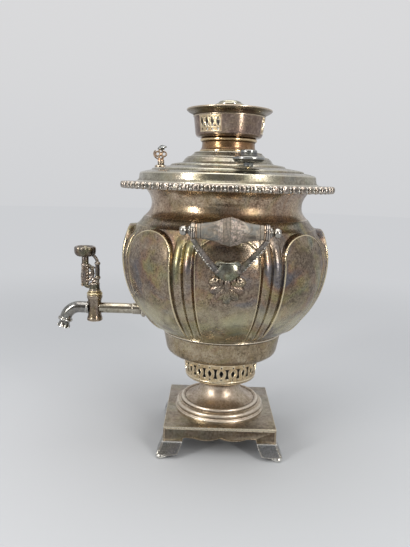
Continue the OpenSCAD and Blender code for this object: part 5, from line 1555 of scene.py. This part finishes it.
# --- crown and chimney cap
@dataclass
class Crown:
    """The crown with its pierced windows, and the cap on the chimney."""

    foot_z: float = 394.4
    cup_z: float = 412
    brim_z: float = 448
    cup_r: float = 46.6
    brim_r: float = 56.1
    sheet: float = 1.6
    window_w: float = 33
    window_low: float = 417.5
    window_high: float = 437.5
    window_half: float = 20
    window_angle: float = -35

    def build(self, shop: Workshop) -> None:
        """Makes the crown and the cap.

        Args:
            shop: the workshop that finishes the pieces.
        """
        shop.piece("crown_ring", self.neck(), "gold", ["crown_neck"], "crown")
        shop.piece("crown_basket", self.cup(), "copper", ["crown_cup"], "crown")
        shop.piece("crown_lining", self.lining(), "iron", ["crown_cup"], "crown")
        shop.piece("crown_brim", self.brim(), "bronze", ["crown_cup"], "crown")
        shop.piece("window_grilles", self.grilles(0.75, 1.4, True), "pale", ["crown_grilles"], "crown",
                   gain=0.8)
        shop.piece("grille_backs", self.grilles(1.85, 0.6, False), "iron", ["crown_grilles"], "crown")
        shop.piece("dished_cap", self.cap(), "iron", ["chimney_cap"], "cap")
        shop.piece("cap_knob", self.button(), "olive", ["cap_button"], "cap")

    def side(self, z: float) -> float:
        """Outside radius of the cup's side at height z."""
        share = (z - self.cup_z - 5) / 22
        return self.cup_r - 2.6 + 2.6 * min(max(share, 0), 1)

    def neck(self) -> Mesh:
        """The waisted neck with its round ring."""
        outside = [(37.7, 0), (37.7, 1.2)]
        outside += cubic((37.7, 1.2), (35, 3), (34.6, 6), (34.6, 11.6), 10)
        outside += [(35.4, 12.4)] + arc((34.8, 14.8), 2.4, -62, 70, 8) + [(34.6, 17.6)]
        inside = [(33, 17.6), (33, 5), (36.1, 1.5), (36.1, 0)]
        return turned_ring(raised(outside + inside, self.foot_z), 0.3, 112)

    def cup(self) -> Mesh:
        """The cup with its floor and three window openings."""
        z, r, t = self.cup_z, self.cup_r, self.sheet
        outside = [(24, z), (36.6, z)]
        outside += cubic(outside[-1], (r - 5, z), (r - 3, z + 2), (r - 2.6, z + 5), 10)
        outside += [(self.side(h), h) for h in (self.window_low, self.window_high)]
        outside += [(r, z + 27)]
        inside = [(r - t, z + 27)] + [(self.side(h) - t, h) for h in (self.window_high, self.window_low)]
        inside += [(r - 4.4, z + 4.6), (r - 6.4, z + 2.4), (36.4, z + t), (24, z + t)]
        return self.windowed(spun(outside + inside, 144))

    def lining(self) -> Mesh:
        """The sooty coat inside the cup, a hair's breadth off its wall."""
        z, r, t = self.cup_z, self.cup_r, self.sheet
        coat = 0.12
        inside = [(24.2, z + t + coat), (36.2, z + t + coat), (r - 6.6, z + 2.7), (r - 4.6, z + 4.8)]
        inside += [(self.side(h) - t - coat, h) for h in (self.window_low, self.window_high)]
        inside += [(r - t - coat, z + 27.6)]
        return self.windowed(spun(inside, 144, closed=False), bridged=False)

    def windowed(self, bm: Mesh, bridged: bool = True) -> Mesh:
        """Cuts the three windows into a wall of the cup.

        Args:
            bm: the wall, with rows of vertices at the windows' heights.
            bridged: whether the wall is double and its rims are closed.

        Returns:
            The same mesh.
        """
        for k in range(3):
            middle = radians(self.window_angle + 120 * k)

            def inside_window(face: bmesh.types.BMFace) -> bool:
                """Whether a face lies in this window."""
                at = face.calc_center_median()
                off = (atan2(at.y, at.x) - middle + pi) % (2 * pi) - pi
                level = self.window_low < at.z < self.window_high
                return level and abs(off) < radians(self.window_half) and at.xy.length > 40

            gone = [f for f in bm.faces if inside_window(f)]
            bmesh.ops.delete(bm, geom=gone, context="FACES")
            if bridged:
                bmesh.ops.bridge_loops(bm, edges=[e for e in bm.edges if len(e.link_faces) == 1])
        bmesh.ops.recalc_face_normals(bm, faces=bm.faces)
        return bm

    def brim(self) -> Mesh:
        """The flared brim with a bead under it and a thin turned edge."""
        r, out, t = self.cup_r, self.brim_r, self.sheet
        outside = [(r - 0.4, -1)] + arc((r - 0.1, -0.2), 0.9, -70, 80, 6)
        outside += cubic((r, 0.7), (r + 0.4, 3), (out - 3, 4), (out - 1, 6.6), 12)
        outside += arc((out - 1.1, 7.8), 1.1, -80, 70, 6) + [(out - 1.4, 9)]
        inside = [(out - 2.4, 8.6)]
        inside += cubic(inside[-1], (out - 3.6, 6.2), (r - 0.9, 4.4), (r - t, 0.8), 12)
        inside += [(r - t, -1)]
        return spun(raised(outside + inside, self.cup_z + 27), 144)

    def grilles(self, back: float, thick: float, framed: bool) -> Mesh:
        """The three pierced plates: tall ovals over dots.

        Args:
            back: how far their middle is behind the side of the cup.
            thick: their thickness.
            framed: whether frames and bars stand on them.

        Returns:
            The mesh.
        """
        low, high = self.window_low - 0.4, self.window_high + 0.4
        middle = (low + high) / 2
        half = self.window_w / 2 + 0.4
        pitch = self.window_w / 4
        slots = [(i - 1.5) * pitch for i in range(4)]
        holes = [pointed_oval(4.5, 12.4, (x, middle + 1.6)) for x in slots]
        holes += [circle(1.6, (x, middle - 7.2), 10) for x in slots]
        holes += [circle(1.15, (x + pitch / 2, middle - 3.4), 10) for x in slots[:-1]]
        holes += [circle(0.9, (x + pitch / 2, middle + 7.4), 8) for x in slots[:-1]]
        outer = softened([(-half, low), (half, low), (half, high), (-half, high)], 1)
        plate = pierced_plate([outer, *holes], thick, 0.25)
        sliced(plate, -half, half, 14)
        parts = [plate]
        for x in slots if framed else ():
            ring = pointed_oval(4.5 + 1.5, 12.4 + 2.2, (x, middle + 1.6), 12)
            parts.append(tube([(px, py, 0.6) for px, py in ring + ring[:1]], 0.5, sides=1, smooth=False))
        for z in (low + 0.7, high - 0.7) if framed else ():
            bar = [(-half + 2 * half * i / 14, z, 0.5) for i in range(15)]
            parts.append(tube(bar, 0.7, sides=1, smooth=False))
        whole = rolled(joined(parts), self.side(middle), lambda z: self.side(z) - back)
        return copies(whole, [turn_z(self.window_angle + 120 * k) for k in range(3)])

    def cap(self) -> Mesh:
        """The dished plate over the chimney."""
        outline = [(20.8, -3), (22.8, -3), (22.8, 0), (29.6, 0), (30, 0.8), (29.4, 1.7)]
        outline += cubic((29.4, 1.7), (22, 2.5), (11, 3.6), (8, 9), 14)
        outline += [(2, 9), (2, 4), (20.8, 1)]
        return turned_ring(raised(outline, self.cup_z + self.sheet), 0.3, 72)

    def button(self) -> Mesh:
        """The stepped knob that stands above the brim."""
        z = self.cup_z + self.sheet + 9
        top = self.brim_z + 12
        outline = [(0, z - 5), (2, z - 5), (2, z), (8, z), (8, z + 1.5)]
        outline += cubic((8, z + 1.5), (5, z + 3), (5, z + 6), (5, z + 9), 6)
        outline += [(5, top - 13), (15.4, top - 8.2), (18.2, top - 7.2), (18.7, top - 6), (18.4, top - 4.9),
                    (16.4, top - 4.3), (15.2, top - 3.7)]
        outline += cubic((15.2, top - 3.7), (14.4, top - 1), (10.4, top - 0.1), (0, top), 10)
        return turned_solid(outline, 0.5, 56)


# --- handles
@dataclass
class Handle:
    """A cast handle: leaf shield, yoke, two beaded arms, eyes, and the turned grip on its rod."""

    side: str
    out: float = 170
    grip_z: float = 305
    grip_len: float = 70
    grip_r: float = 15.5
    grip_end: float = 7.8
    wall_r: float = 138
    eye_y: float = 38.8
    eye_r: float = 9
    foot: Place = (144, 12.6, 260)
    head: Place = (168, 39.5, 297)
    shield_z: float = 243
    leaf_len: float = 21.4
    fall_z: float = 238

    def build(self, shop: Workshop) -> None:
        """Makes the handle's pieces on its side.

        Args:
            shop: the workshop that finishes the pieces.
        """
        flip = MIRROR_X if self.side == "left" else Matrix.Identity(4)
        pieces = [("leaf_shield_", self.shield, "bronze", 0.4, "handle_bracket_"),
                  ("saddle_yoke_", self.yoke, "olive", 0.5, "handle_bracket_"),
                  ("arms_and_eyes_", self.arms, "dark", 0.6, "handle_bracket_"),
                  ("arm_beads_", self.arm_beads, "bright", 0.7, "handle_bracket_"),
                  ("ridged_grip_", self.grip, "wood", 1.2, "handle_grip_"),
                  ("domed_nuts_", self.nuts, "bright", 1.1, "handle_nuts_"),
                  ("copper_washers_", self.washers, "copper", 1.1, "handle_washers_")]
        for name, make, finish, gain, node in pieces:
            shop.piece(name + self.side, placed(make(), flip), finish, [node + self.side], gain=gain)
        for node in ("handle_rod_", "handle_rivets_"):
            shop.keep(node + self.side, "iron")

    def grip(self) -> Mesh:
        """The lozenge-shaped grip with fine turned lines beside its ridge."""
        half = self.grip_len / 2
        ends = [(2.6, -half), (self.grip_end - 0.8, -half), (self.grip_end, -half + 0.8),
                (self.grip_end + 0.2, -half + 3.4), (self.grip_end - 0.5, -half + 4.2),
                (self.grip_end + 0.5, -half + 5)]
        rise = cubic((self.grip_end + 0.5, -half + 5), (self.grip_end + 1.4, -half + 16),
                     (self.grip_r - 4.6, -12), (self.grip_r - 2.2, -8.4), 12)
        lines: Outline = []
        for i in range(6):
            z = -8.2 + i * 1.35
            r = self.grip_r - 2.2 + 2 * (i / 6)
            lines += [(r, z), (r + 0.2, z + 0.55), (r - 0.8, z + 0.95)]
        lined = ends + rise + lines + [(self.grip_r, 0)]
        smooth = [(r, -z) for r, z in reversed(ends + rise)]
        outline = lined + [(self.grip_r - 0.5, 2)] + smooth
        return placed(turned_ring(outline, 0.25, 64), shift(self.out, 0, self.grip_z) @ turn_x(-90))

    def nuts(self) -> Mesh:
        """The domed, waisted end nuts."""
        outline = [(0, 0), (5.4, 0), (5.6, 1.3), (3.4, 2.4), (3.2, 3.9), (4.8, 4.8), (5.4, 6.4), (5.1, 9),
                   (3.4, 11), (0, 11.4)]
        nut = turned_solid(outline, 0.6, 32)
        y = self.eye_y + 2.8
        return copies(nut, [shift(self.out, y, self.grip_z) @ turn_x(-90),
                            shift(self.out, -y, self.grip_z) @ turn_x(90)])

    def washers(self) -> Mesh:
        """Copper washers between grip and eyes."""
        ring = turned_ring([(2.6, -0.5), (8.3, -0.5), (8.3, 0.5), (2.6, 0.5)], 0.2, 36)
        y = self.grip_len / 2 + 0.5
        return copies(ring, [shift(self.out, s * y, self.grip_z) @ turn_x(90) for s in (-1, 1)])

    def arm_line(self, sign: int) -> list[Vector]:
        """Middle line of one arm, from the yoke to the eye.

        Args:
            sign: 1 for the arm towards +Y, -1 for the other.

        Returns:
            Nine points in millimetres.
        """
        low = Vector((self.foot[0], sign * self.foot[1], self.foot[2]))
        high = Vector((self.head[0], sign * self.head[1], self.head[2]))
        points = [low.lerp(high, t / 8) for t in range(9)]
        return [p + Vector((1.2, sign * 0.9, 0)) * sin(pi * t / 8) for t, p in enumerate(points)]

    def arms(self) -> Mesh:
        """The two slim arms and the eyes that hold the rod."""
        parts: list[Mesh] = []
        r = self.eye_r
        for s in (-1, 1):
            eye = turned_ring([(2.6, -2.8), (r - 2.4, -2.8), (r - 1, -2.2), (r, -1.4), (r - 0.3, 0), (r, 1.4),
                               (r - 1, 2.2), (r - 2.4, 2.8), (2.6, 2.8)], 0.6, 40)
            parts.append(placed(eye, shift(self.out, s * self.eye_y, self.grip_z) @ turn_x(90)))
            line = [tuple(p) for p in self.arm_line(s)]
            parts.append(tube(line, 3.4, [1.2, 1.08, 1, .94, .88, .84, .80, .80, .84], sides=4))
            parts.append(ball((4.2, 4, 4.2), (self.foot[0] + 0.2, s * self.foot[1], self.foot[2]), 20, 14))
        return joined(parts)

    def yoke(self) -> Mesh:
        """The rounded saddle between shield and arms, hollowed on top, with a ball in the hollow."""
        x, y, z = self.foot
        saddle = ball((10.8, y + 5.4, 14.4), (x - 5.4, 0, z - 0.8), 40, 30)

        def hollowed(co: Vector) -> Vector:
            """Dips the top of the saddle between the arms and narrows its foot."""
            low = max(0, z - co.z) / 14.4
            top = z + 8.4 + 0.028 * co.y * co.y
            return Vector((co.x, co.y * (1 - 0.34 * low), min(co.z, top + 0.25 * max(co.z - top, 0))))

        moved(saddle, hollowed)
        return joined([saddle, ball((2.9, 3.6, 2.6), (x + 1.4, 0, z + 5), 18, 12)])

    def arm_beads(self) -> Mesh:
        """The pearls along the outer edges of the arms, smaller towards the eyes."""
        pearls = []
        for s in (-1, 1):
            line = self.arm_line(s)
            for k in range(12):
                t = (k + 0.9) / 14.5
                i = min(int(t * 8), 7)
                at = line[i].lerp(line[i + 1], t * 8 - i) + Vector((1.5, s * 2.3, -1.9))
                size = (1.5 if k % 2 else 1.1) * (1.05 - 0.25 * t)
                pearls.append(ball((size, size, size * 1.15), tuple(at), 10, 8))
        return joined(pearls)

    def shield(self) -> Mesh:
        """The palmette of seven merged leaves round a smooth nose, bent to the wall."""
        x, z, rings, sectors = self.wall_r + 0.6, self.shield_z, 22, 168
        bm = bmesh.new()
        bmesh.ops.create_grid(bm, x_segments=sectors, y_segments=rings, size=0.5)

        def carved(co: Vector) -> Vector:
            """Place on the palmette of a point of the flat grid: x runs round, y outwards."""
            angle, share = 2 * pi * (co.x + 0.5), co.y + 0.5
            turn = degrees(angle) - 180
            lobe = turn / 33
            within = abs(lobe - round(lobe)) * 2
            upper = eased((abs(turn) - 108) / 30)
            longer = 1.06 if abs(turn) < 12 else 1
            reach = self.leaf_len * (1 - 0.17 * within ** 2.2) * (1 - 0.42 * upper) * longer
            round_edge = sqrt(max(1 - share ** 6, 0))
            lift = 2.2 + 3 * (1 - share) ** 0.8 + 0.9 * share * (1 - within ** 1.4)
            lift -= 0.5 * share * exp(-(within / 0.16) ** 2)
            lift += 0.30 * share * cos(26 * share + 4 * within)
            side, up = sin(angle), cos(angle)
            out = reach * share
            return Vector((x + lift * round_edge, out * side, z + out * up))

        cleaned(moved(bm, carved), lambda at: Vector((1, 0, 0)))
        parts = [bm, ball((4.6, 4.4, 9.6), (x + 3.4, 0, z + 1.6), 28, 20)]
        for s in (-1, 1):
            parts.append(ball((3.4, 3.4, 6.4), (x + 3.2, s * 6.6, z + 4.6), 20, 14))
            curl = [(x + 4.2, s * (13.4 + 3.2 * cos(a) * (1 - a / 9)), z + 5.4 + 3.2 * sin(a) * (1 - a / 9))
                    for a in [0.8 * k for k in range(9)]]
            parts.append(tube(curl, 1.1, sides=2))
        return moved(joined(parts), self.hugged)

    def hugged(self, co: Vector) -> Vector:
        """Bends a point of the flat fan round the wall, which falls away below the shield."""
        low = max(0, self.fall_z - co.z)
        return Vector((co.x - co.y * co.y / (2 * self.wall_r) - 0.005 * low * low, co.y, co.z))


# --- tap
@dataclass
class Tap:
    """The tap: boss, pipe, barrel, collar, bent spout and the openwork key."""

    out: float = 177.2
    z: float = 179
    pipe_r: float = 7.2
    spout_r: float = 8
    bore_r: float = 4
    barrel_r: float = 10.6
    barrel_low: float = 160.85
    barrel_high: float = 197.15
    wall_r: float = 108.93
    spout_run: float = 21
    bend: float = 20
    drop: float = 75
    tail: float = 14
    lean: float = -12.8

    def build(self, shop: Workshop) -> None:
        """Makes the tap's pieces.

        Args:
            shop: the workshop that finishes the pieces.
        """
        shop.piece("tap_rosette", self.rosette(), "silver", ["tap_boss"])
        shop.piece("tap_barrel", self.barrel(), "bronze", ["tap_body"])
        shop.piece("tap_pipe", self.pipe(), "silver", ["tap_body"])
        shop.piece("bent_spout", self.spout(), "pipe", ["tap_spout"])
        shop.piece("notched_mouth", self.mouth(), "pipe", ["tap_spout"], gain=0.6)
        shop.piece("barrel_collar", self.collar(), "brass", ["tap_collar"])
        shop.piece("scrolled_key", self.key(), "dark", ["tap_key"], "tap_key", gain=0.6)
        for node in ("tap_strainer", "tap_plug", "tap_washer", "tap_nut"):
            shop.keep(node, "brass")

    def at_barrel(self, bm: Mesh) -> Mesh:
        """Puts a mesh made about the Z axis on the axis of the plug."""
        return placed(bm, shift(0, -self.out, 0))

    def rosette(self) -> Mesh:
        """The turned bushing where the pipe enters the wall."""
        outline = [(self.pipe_r, -14), (9, -14), (9, -2), (11.4, -2), (11.4, 1.6), (10.4, 2.8), (8.8, 3.4),
                   (8, 5), (7.8, 15.4), (self.pipe_r, 16)]
        ring = turned_ring(outline, 0.5, 56)
        return placed(ring, shift(0, -self.wall_r, self.z) @ turn_x(90))

    def barrel(self) -> Mesh:
        """Barrel with a waist, open below round the nut's recess."""
        tall, r = self.barrel_high - self.barrel_low, self.barrel_r
        outline = [(8.6, 0), (r - 0.5, 0), (r, 0.6), (r, 3.8), (r - 0.8, 5.4)]
        outline += cubic(outline[-1], (r - 1.7, 8.4), (r - 1.9, 14), (r - 1.9, 18.1), 9)
        outline += cubic(outline[-1], (r - 1.9, 22), (r - 1.7, 28), (r - 0.8, 30.7), 9)
        outline += [(r, 32), (r, tall - 0.5), (r - 0.5, tall), (6.25, tall), (6.25, 6.6), (8.6, 6.6)]
        return self.at_barrel(turned_ring(raised(outline, self.barrel_low), 0.4, 64))

    def pipe(self) -> Mesh:
        """Straight pipe from inside the wall to the barrel."""
        length = self.out - self.wall_r + 12 - 7.5
        outline = [(4, 0), (self.pipe_r, 0), (self.pipe_r, length), (4, length)]
        return placed(turned_ring(outline, 0.2, 48), shift(0, -self.wall_r + 12, self.z) @ turn_x(90))

    def bend_stages(self) -> list[tuple[Place, float]]:
        """Middle points of the bend, each with how far the spout has turned down, in degrees."""
        stages = []
        for i in range(25):
            turned = self.drop * i / 24
            angle = radians(turned)
            stages.append(((0, -self.out - self.spout_run - self.bend * sin(angle),
                            self.z - self.bend * (1 - cos(angle))), turned))
        return stages

    def spout(self) -> Mesh:
        """The bent pipe between barrel and mouth, with a thin collar at the barrel."""
        start = self.out + 8
        stages = self.bend_stages()
        line = [((0, -start, self.z), 0), ((0, -self.out - self.spout_run + 3, self.z), 0)] + stages
        last, angle = stages[-1]
        way = Vector((0, -cos(radians(angle)), -sin(radians(angle))))
        line.append((tuple(Vector(last) + way * 1.5), angle))
        bm = bmesh.new()
        rings: list[list[bmesh.types.BMEdge]] = []
        for radius, order in ((self.spout_r, line), (self.bore_r, list(reversed(line)))):
            for centre, turned in order:
                ring = bmesh.ops.create_circle(bm, segments=48, radius=radius, cap_ends=False,
                                               matrix=shift(*centre) @ turn_x(90 + turned))
                rings.append(list({e for v in ring["verts"] for e in v.link_edges}))
        for first, second in zip(rings, rings[1:] + rings[:1]):
            bmesh.ops.bridge_loops(bm, edges=first + second)
        bmesh.ops.recalc_face_normals(bm, faces=bm.faces)
        ring = turned_ring([(7, 0), (8.5, 0), (8.9, 0.9), (8.5, 1.8), (7, 1.8)], 0.4, 48)
        placed(ring, shift(0, -self.out - self.barrel_r + 1.2, self.z) @ turn_x(90))
        return joined([bm, ring])

    def mouth(self) -> Mesh:
        """The banded end of the spout with its flared, notched lip."""
        r = self.spout_r
        band = r + 1.8
        outline = [(4.4, -0.4), (r + 0.4, -0.4), (r + 0.4, 0.8)] + arc((r + 0.4, 2.8), 1.8, -70, 70, 8)
        outline += [(r + 0.2, 4.9), (r - 0.6, 6), (r - 0.9, 7.4), (r - 0.4, self.tail - 4.2),
                    (band - 1, self.tail - 1.4), (band - 0.6, self.tail - 0.7), (band - 1, self.tail),
                    (5.4, self.tail), (4.4, 9)]
        mouth = turned_ring(outline, 0.4, 72)

        def notched(co: Vector) -> Vector:
            """Cuts shallow notches into the flared lip."""
            around = atan2(co.y, co.x)
            dip = max(0, cos(around * 6)) ** 8 * max(0, (co.z - 10.5) / 3.5)
            return Vector((co.x, co.y, co.z - 2.4 * dip))

        moved(mouth, notched)
        last, angle = self.bend_stages()[-1]
        return placed(mouth, Matrix.Translation(last) @ turn_x(90 + angle))

    def collar(self) -> Mesh:
        """The brass collar on the barrel."""
        r = self.barrel_r
        outline = [(4.7, 0), (r - 1.2, 0), (r + 0.1, 0.8), (r + 0.2, 2.2), (r - 0.6, 3.2), (r - 1.8, 4),
                   (r - 1.9, 5.4), (r - 2.4, 6), (4.7, 6)]
        return self.at_barrel(turned_ring(raised(outline, self.barrel_high), 0.5, 56))

    def key(self) -> Mesh:
        """The key: foot, leaf-wrapped column, spindle, scrolls and the scalloped head."""
        lean = self.lean
        parts = [turned_solid([(0, 0), (7.6, 0), (7.8, 1.4), (6.9, 2.6), (6.8, 8), (7.4, 9.4), (6.4, 10.8),
                               (0, 11.2)], 0.6, 36)]
        column = [(0, -5.5, 5), (0, lean + 1.6, 4.2), (0, lean - 1.4, 12), (0, lean - 1.6, 22), (0, lean, 33),
                  (0, lean, 48)]
        parts.append(tube(column, 4.2, [0.55, 0.7, 1.15, 1.2, 1.05, 0.9], sides=4))
        for k in range(7):
            at = 8 + 4.2 * k
            parts.append(ball((4.8, 2.2, 3), (0, lean - 3.8 + 0.12 * k, at), 14, 10))
            parts.append(ball((4.8, 2.2, 2.6), (0, lean + 3 + 0.12 * k, at + 2), 14, 10))
        neck = turned_solid([(0, 34), (5.4, 34), (5.9, 35.6), (4.9, 37), (4.6, 39), (4.8, 48), (0, 48)], 0.5,
                            28)
        parts.append(placed(neck, shift(0, lean, 0)))
        spindle = turned_solid([(0, 15), (2.9, 15), (4.1, 17), (4.1, 18.8), (2.9, 20.2), (3.2, 29), (2.8, 35),
                                (4, 36.6), (4, 38.4), (2.4, 39.8), (0, 40.4)], 0.5, 28)
        parts.append(placed(spindle, shift(0, 4, 0)))
        parts.append(tube([(0, 4, 38), (0, 3.6, 43), (0, 0.6, 47.5), (0, -4.5, 50)], 2.1, [1, 1.1, 1.15, 0.9],
                          sides=3))
        parts.append(tube([(0, -9, 13), (0, -3, 17), (0, -1.5, 25), (0, -4.5, 33), (0, -10, 36)], 2.3,
                          [1, 1.1, 1.1, 1, 0.9], sides=3))
        parts.append(tube([(0, 4, 17), (0, 4.6, 13), (0, 3.2, 9)], 2.2, [0.9, 1.1, 1.1], sides=3))
        for centre_y, centre_z, size in ((-4.4, 22, 3.4), (-0.8, 13.4, 3.2), (-3.4, 30, 2.9)):
            curl = [(0, centre_y + size * (1 - a / 8.5) * cos(a), centre_z + size * (1 - a / 8.5) * sin(a))
                    for a in [0.7 * k for k in range(9)]]
            parts.append(tube(curl, 1.9, sides=2))
        parts.append(self.head(47, lean))
        return placed(joined(parts), shift(0, -self.out, self.barrel_high + 6))

    def head(self, z: float, lean: float) -> Mesh:
        """The round, scalloped head with its dished top.

        Args:
            z: height of its foot above the key's.
            lean: how far it stands out from the axis of the plug.

        Returns:
            The mesh.
        """
        outline = [(0, 0), (9.4, 0), (12.4, 1.2), (14.2, 3.6), (14.8, 7), (14.8, 11.4), (14, 13), (12.6, 13.8),
                   (10.8, 13), (8.6, 11.6), (5, 12.2), (3, 14.2), (0, 15)]
        bm = turned_solid(raised(outline, z), 0.8, 80)

        def scalloped(co: Vector) -> Vector:
            """Draws the rim in between its eight lobes."""
            around = atan2(co.y, co.x)
            radius = hypot(co.x, co.y)
            pull = 1 - 0.07 * (1 - abs(cos(4 * around))) * min(radius / 12, 1)
            return Vector((co.x * pull, co.y * pull, co.z))

        moved(bm, scalloped)
        return placed(bm, shift(0, lean, 0))


# --- studio
@dataclass
class Studio:
    """Floor, lights and camera."""

    camera_at: Place = (0.7327, -0.0223, 0.3572)
    pitch: float = 9.76
    yaw: float = -0.27
    roll: float = 1.74
    focal_px: float = 542.7
    image_h: float = 547.0
    sensor: float = 36.0

    def build(self) -> None:
        """Makes the studio."""
        bpy.context.scene.view_settings.view_transform = "Standard"
        self.camera()
        self.floor()
        self.world()
        target = Vector((0, 0, 0.27))
        for lamp in LAMPS:
            self.lamp(*lamp, target)

    def camera(self) -> None:
        """Places the camera."""
        pitch, yaw, roll = (radians(v) for v in (self.pitch, self.yaw, self.roll))
        ahead = Vector((-cos(yaw) * cos(pitch), sin(yaw) * cos(pitch), -sin(pitch)))
        level_right = ahead.cross(Vector((0, 0, 1))).normalized()
        level_up = level_right.cross(ahead)
        right = cos(roll) * level_right + sin(roll) * level_up
        up = -sin(roll) * level_right + cos(roll) * level_up
        data = bpy.data.cameras.new("camera")
        data.sensor_fit = "VERTICAL"
        data.sensor_height = self.sensor
        data.lens = self.focal_px / self.image_h * self.sensor
        data.clip_start = 0.01
        thing = bpy.data.objects.new("camera", data)
        turn = Matrix((right, up, -ahead)).transposed().to_4x4()
        thing.matrix_world = Matrix.Translation(self.camera_at) @ turn
        bpy.context.scene.collection.objects.link(thing)
        bpy.context.scene.camera = thing

    def floor(self) -> None:
        """A pale floor that fades into the background away from the object."""
        bm = bmesh.new()
        bmesh.ops.create_circle(bm, cap_ends=True, segments=96, radius=6.0)
        mesh = bpy.data.meshes.new("floor")
        bm.to_mesh(mesh)
        bm.free()
        floor = bpy.data.objects.new("floor", mesh)
        bpy.context.scene.collection.objects.link(floor)
        material = bpy.data.materials.new("floor")
        g = Graph.of(material)
        place = g.add("TexCoord").outputs["Object"]
        far = g.add("VectorMath", {0: place}, operation="LENGTH").outputs["Value"]
        tint = g.mixed(g.noise(place, 1.4, 2.0), (0.40, 0.42, 0.44, 1), (0.44, 0.45, 0.47, 1))
        paint = g.add("BsdfPrincipled", {"Base Color": tint, "Roughness": 0.9})
        glow = g.add("Emission", {"Color": rgba(HAZE), "Strength": 1.0})
        mix = g.add("MixShader", {0: g.spread(far, FADE_FROM, FADE_TO), 1: paint.outputs[0],
                                  2: glow.outputs[0]})
        g.add("OutputMaterial", {0: mix.outputs[0]})
        mesh.materials.append(material)

    def world(self) -> None:
        """A soft room, one for every kind of ray: pale behind, bright above, dim on the camera's side."""
        world = bpy.data.worlds.new("room")
        bpy.context.scene.world = world
        g = Graph.of(world)
        way = g.add("SeparateXYZ", {0: g.add("TexCoord").outputs["Generated"]}).outputs
        pale = g.mixed(g.spread(way[2], -0.25, 0.35), rgba(HAZE), (0.70, 0.70, 0.71, 1))
        base = g.mixed(g.spread(way[2], 0.38, 0.95), pale, (0.95, 0.96, 0.98, 1))
        front = g.spread(way[0], 0.10, 0.95)
        room = g.mixed(g.times(front, 0.78), base, (0.10, 0.085, 0.07, 1))
        light = g.add("Background", {"Color": room, "Strength": 1.0})
        g.add("OutputWorld", {0: light.outputs[0]})

    def lamp(self, name: str, angle: float, rise: float, size: Point, power: float, target: Vector) -> None:
        """One soft rectangular lamp.

        Args:
            name: name of the lamp.
            angle: degrees round from the camera's side.
            rise: degrees above the level.
            size: width and height in metres.
            power: in watts.
            target: where it points.
        """
        data = bpy.data.lights.new(name, "AREA")
        data.shape = "RECTANGLE"
        data.size, data.size_y = size
        data.energy = power
        data.color = (1.0, 0.97, 0.93)
        thing = bpy.data.objects.new(name, data)
        flat = cos(radians(rise))
        away = Vector((flat * cos(radians(angle)), flat * sin(radians(angle)), sin(radians(rise)))) * 1.5
        thing.location = target + away
        thing.rotation_euler = (-away).to_track_quat("-Z", "Y").to_euler()
        bpy.context.scene.collection.objects.link(thing)


def main() -> None:
    """Builds the studio and every sub-assembly."""
    logging.basicConfig(level=logging.INFO, format="%(name)s %(message)s")
    Studio().build()
    shop = Workshop(Finishes())
    for assembly in (Base(), Gallery(), Vessel(), Lid(), Crown(), Handle("right"), Handle("left"), Tap()):
        assembly.build(shop)
        LOG.info("built %s", type(assembly).__name__)


if __name__ == "__main__":
    main()
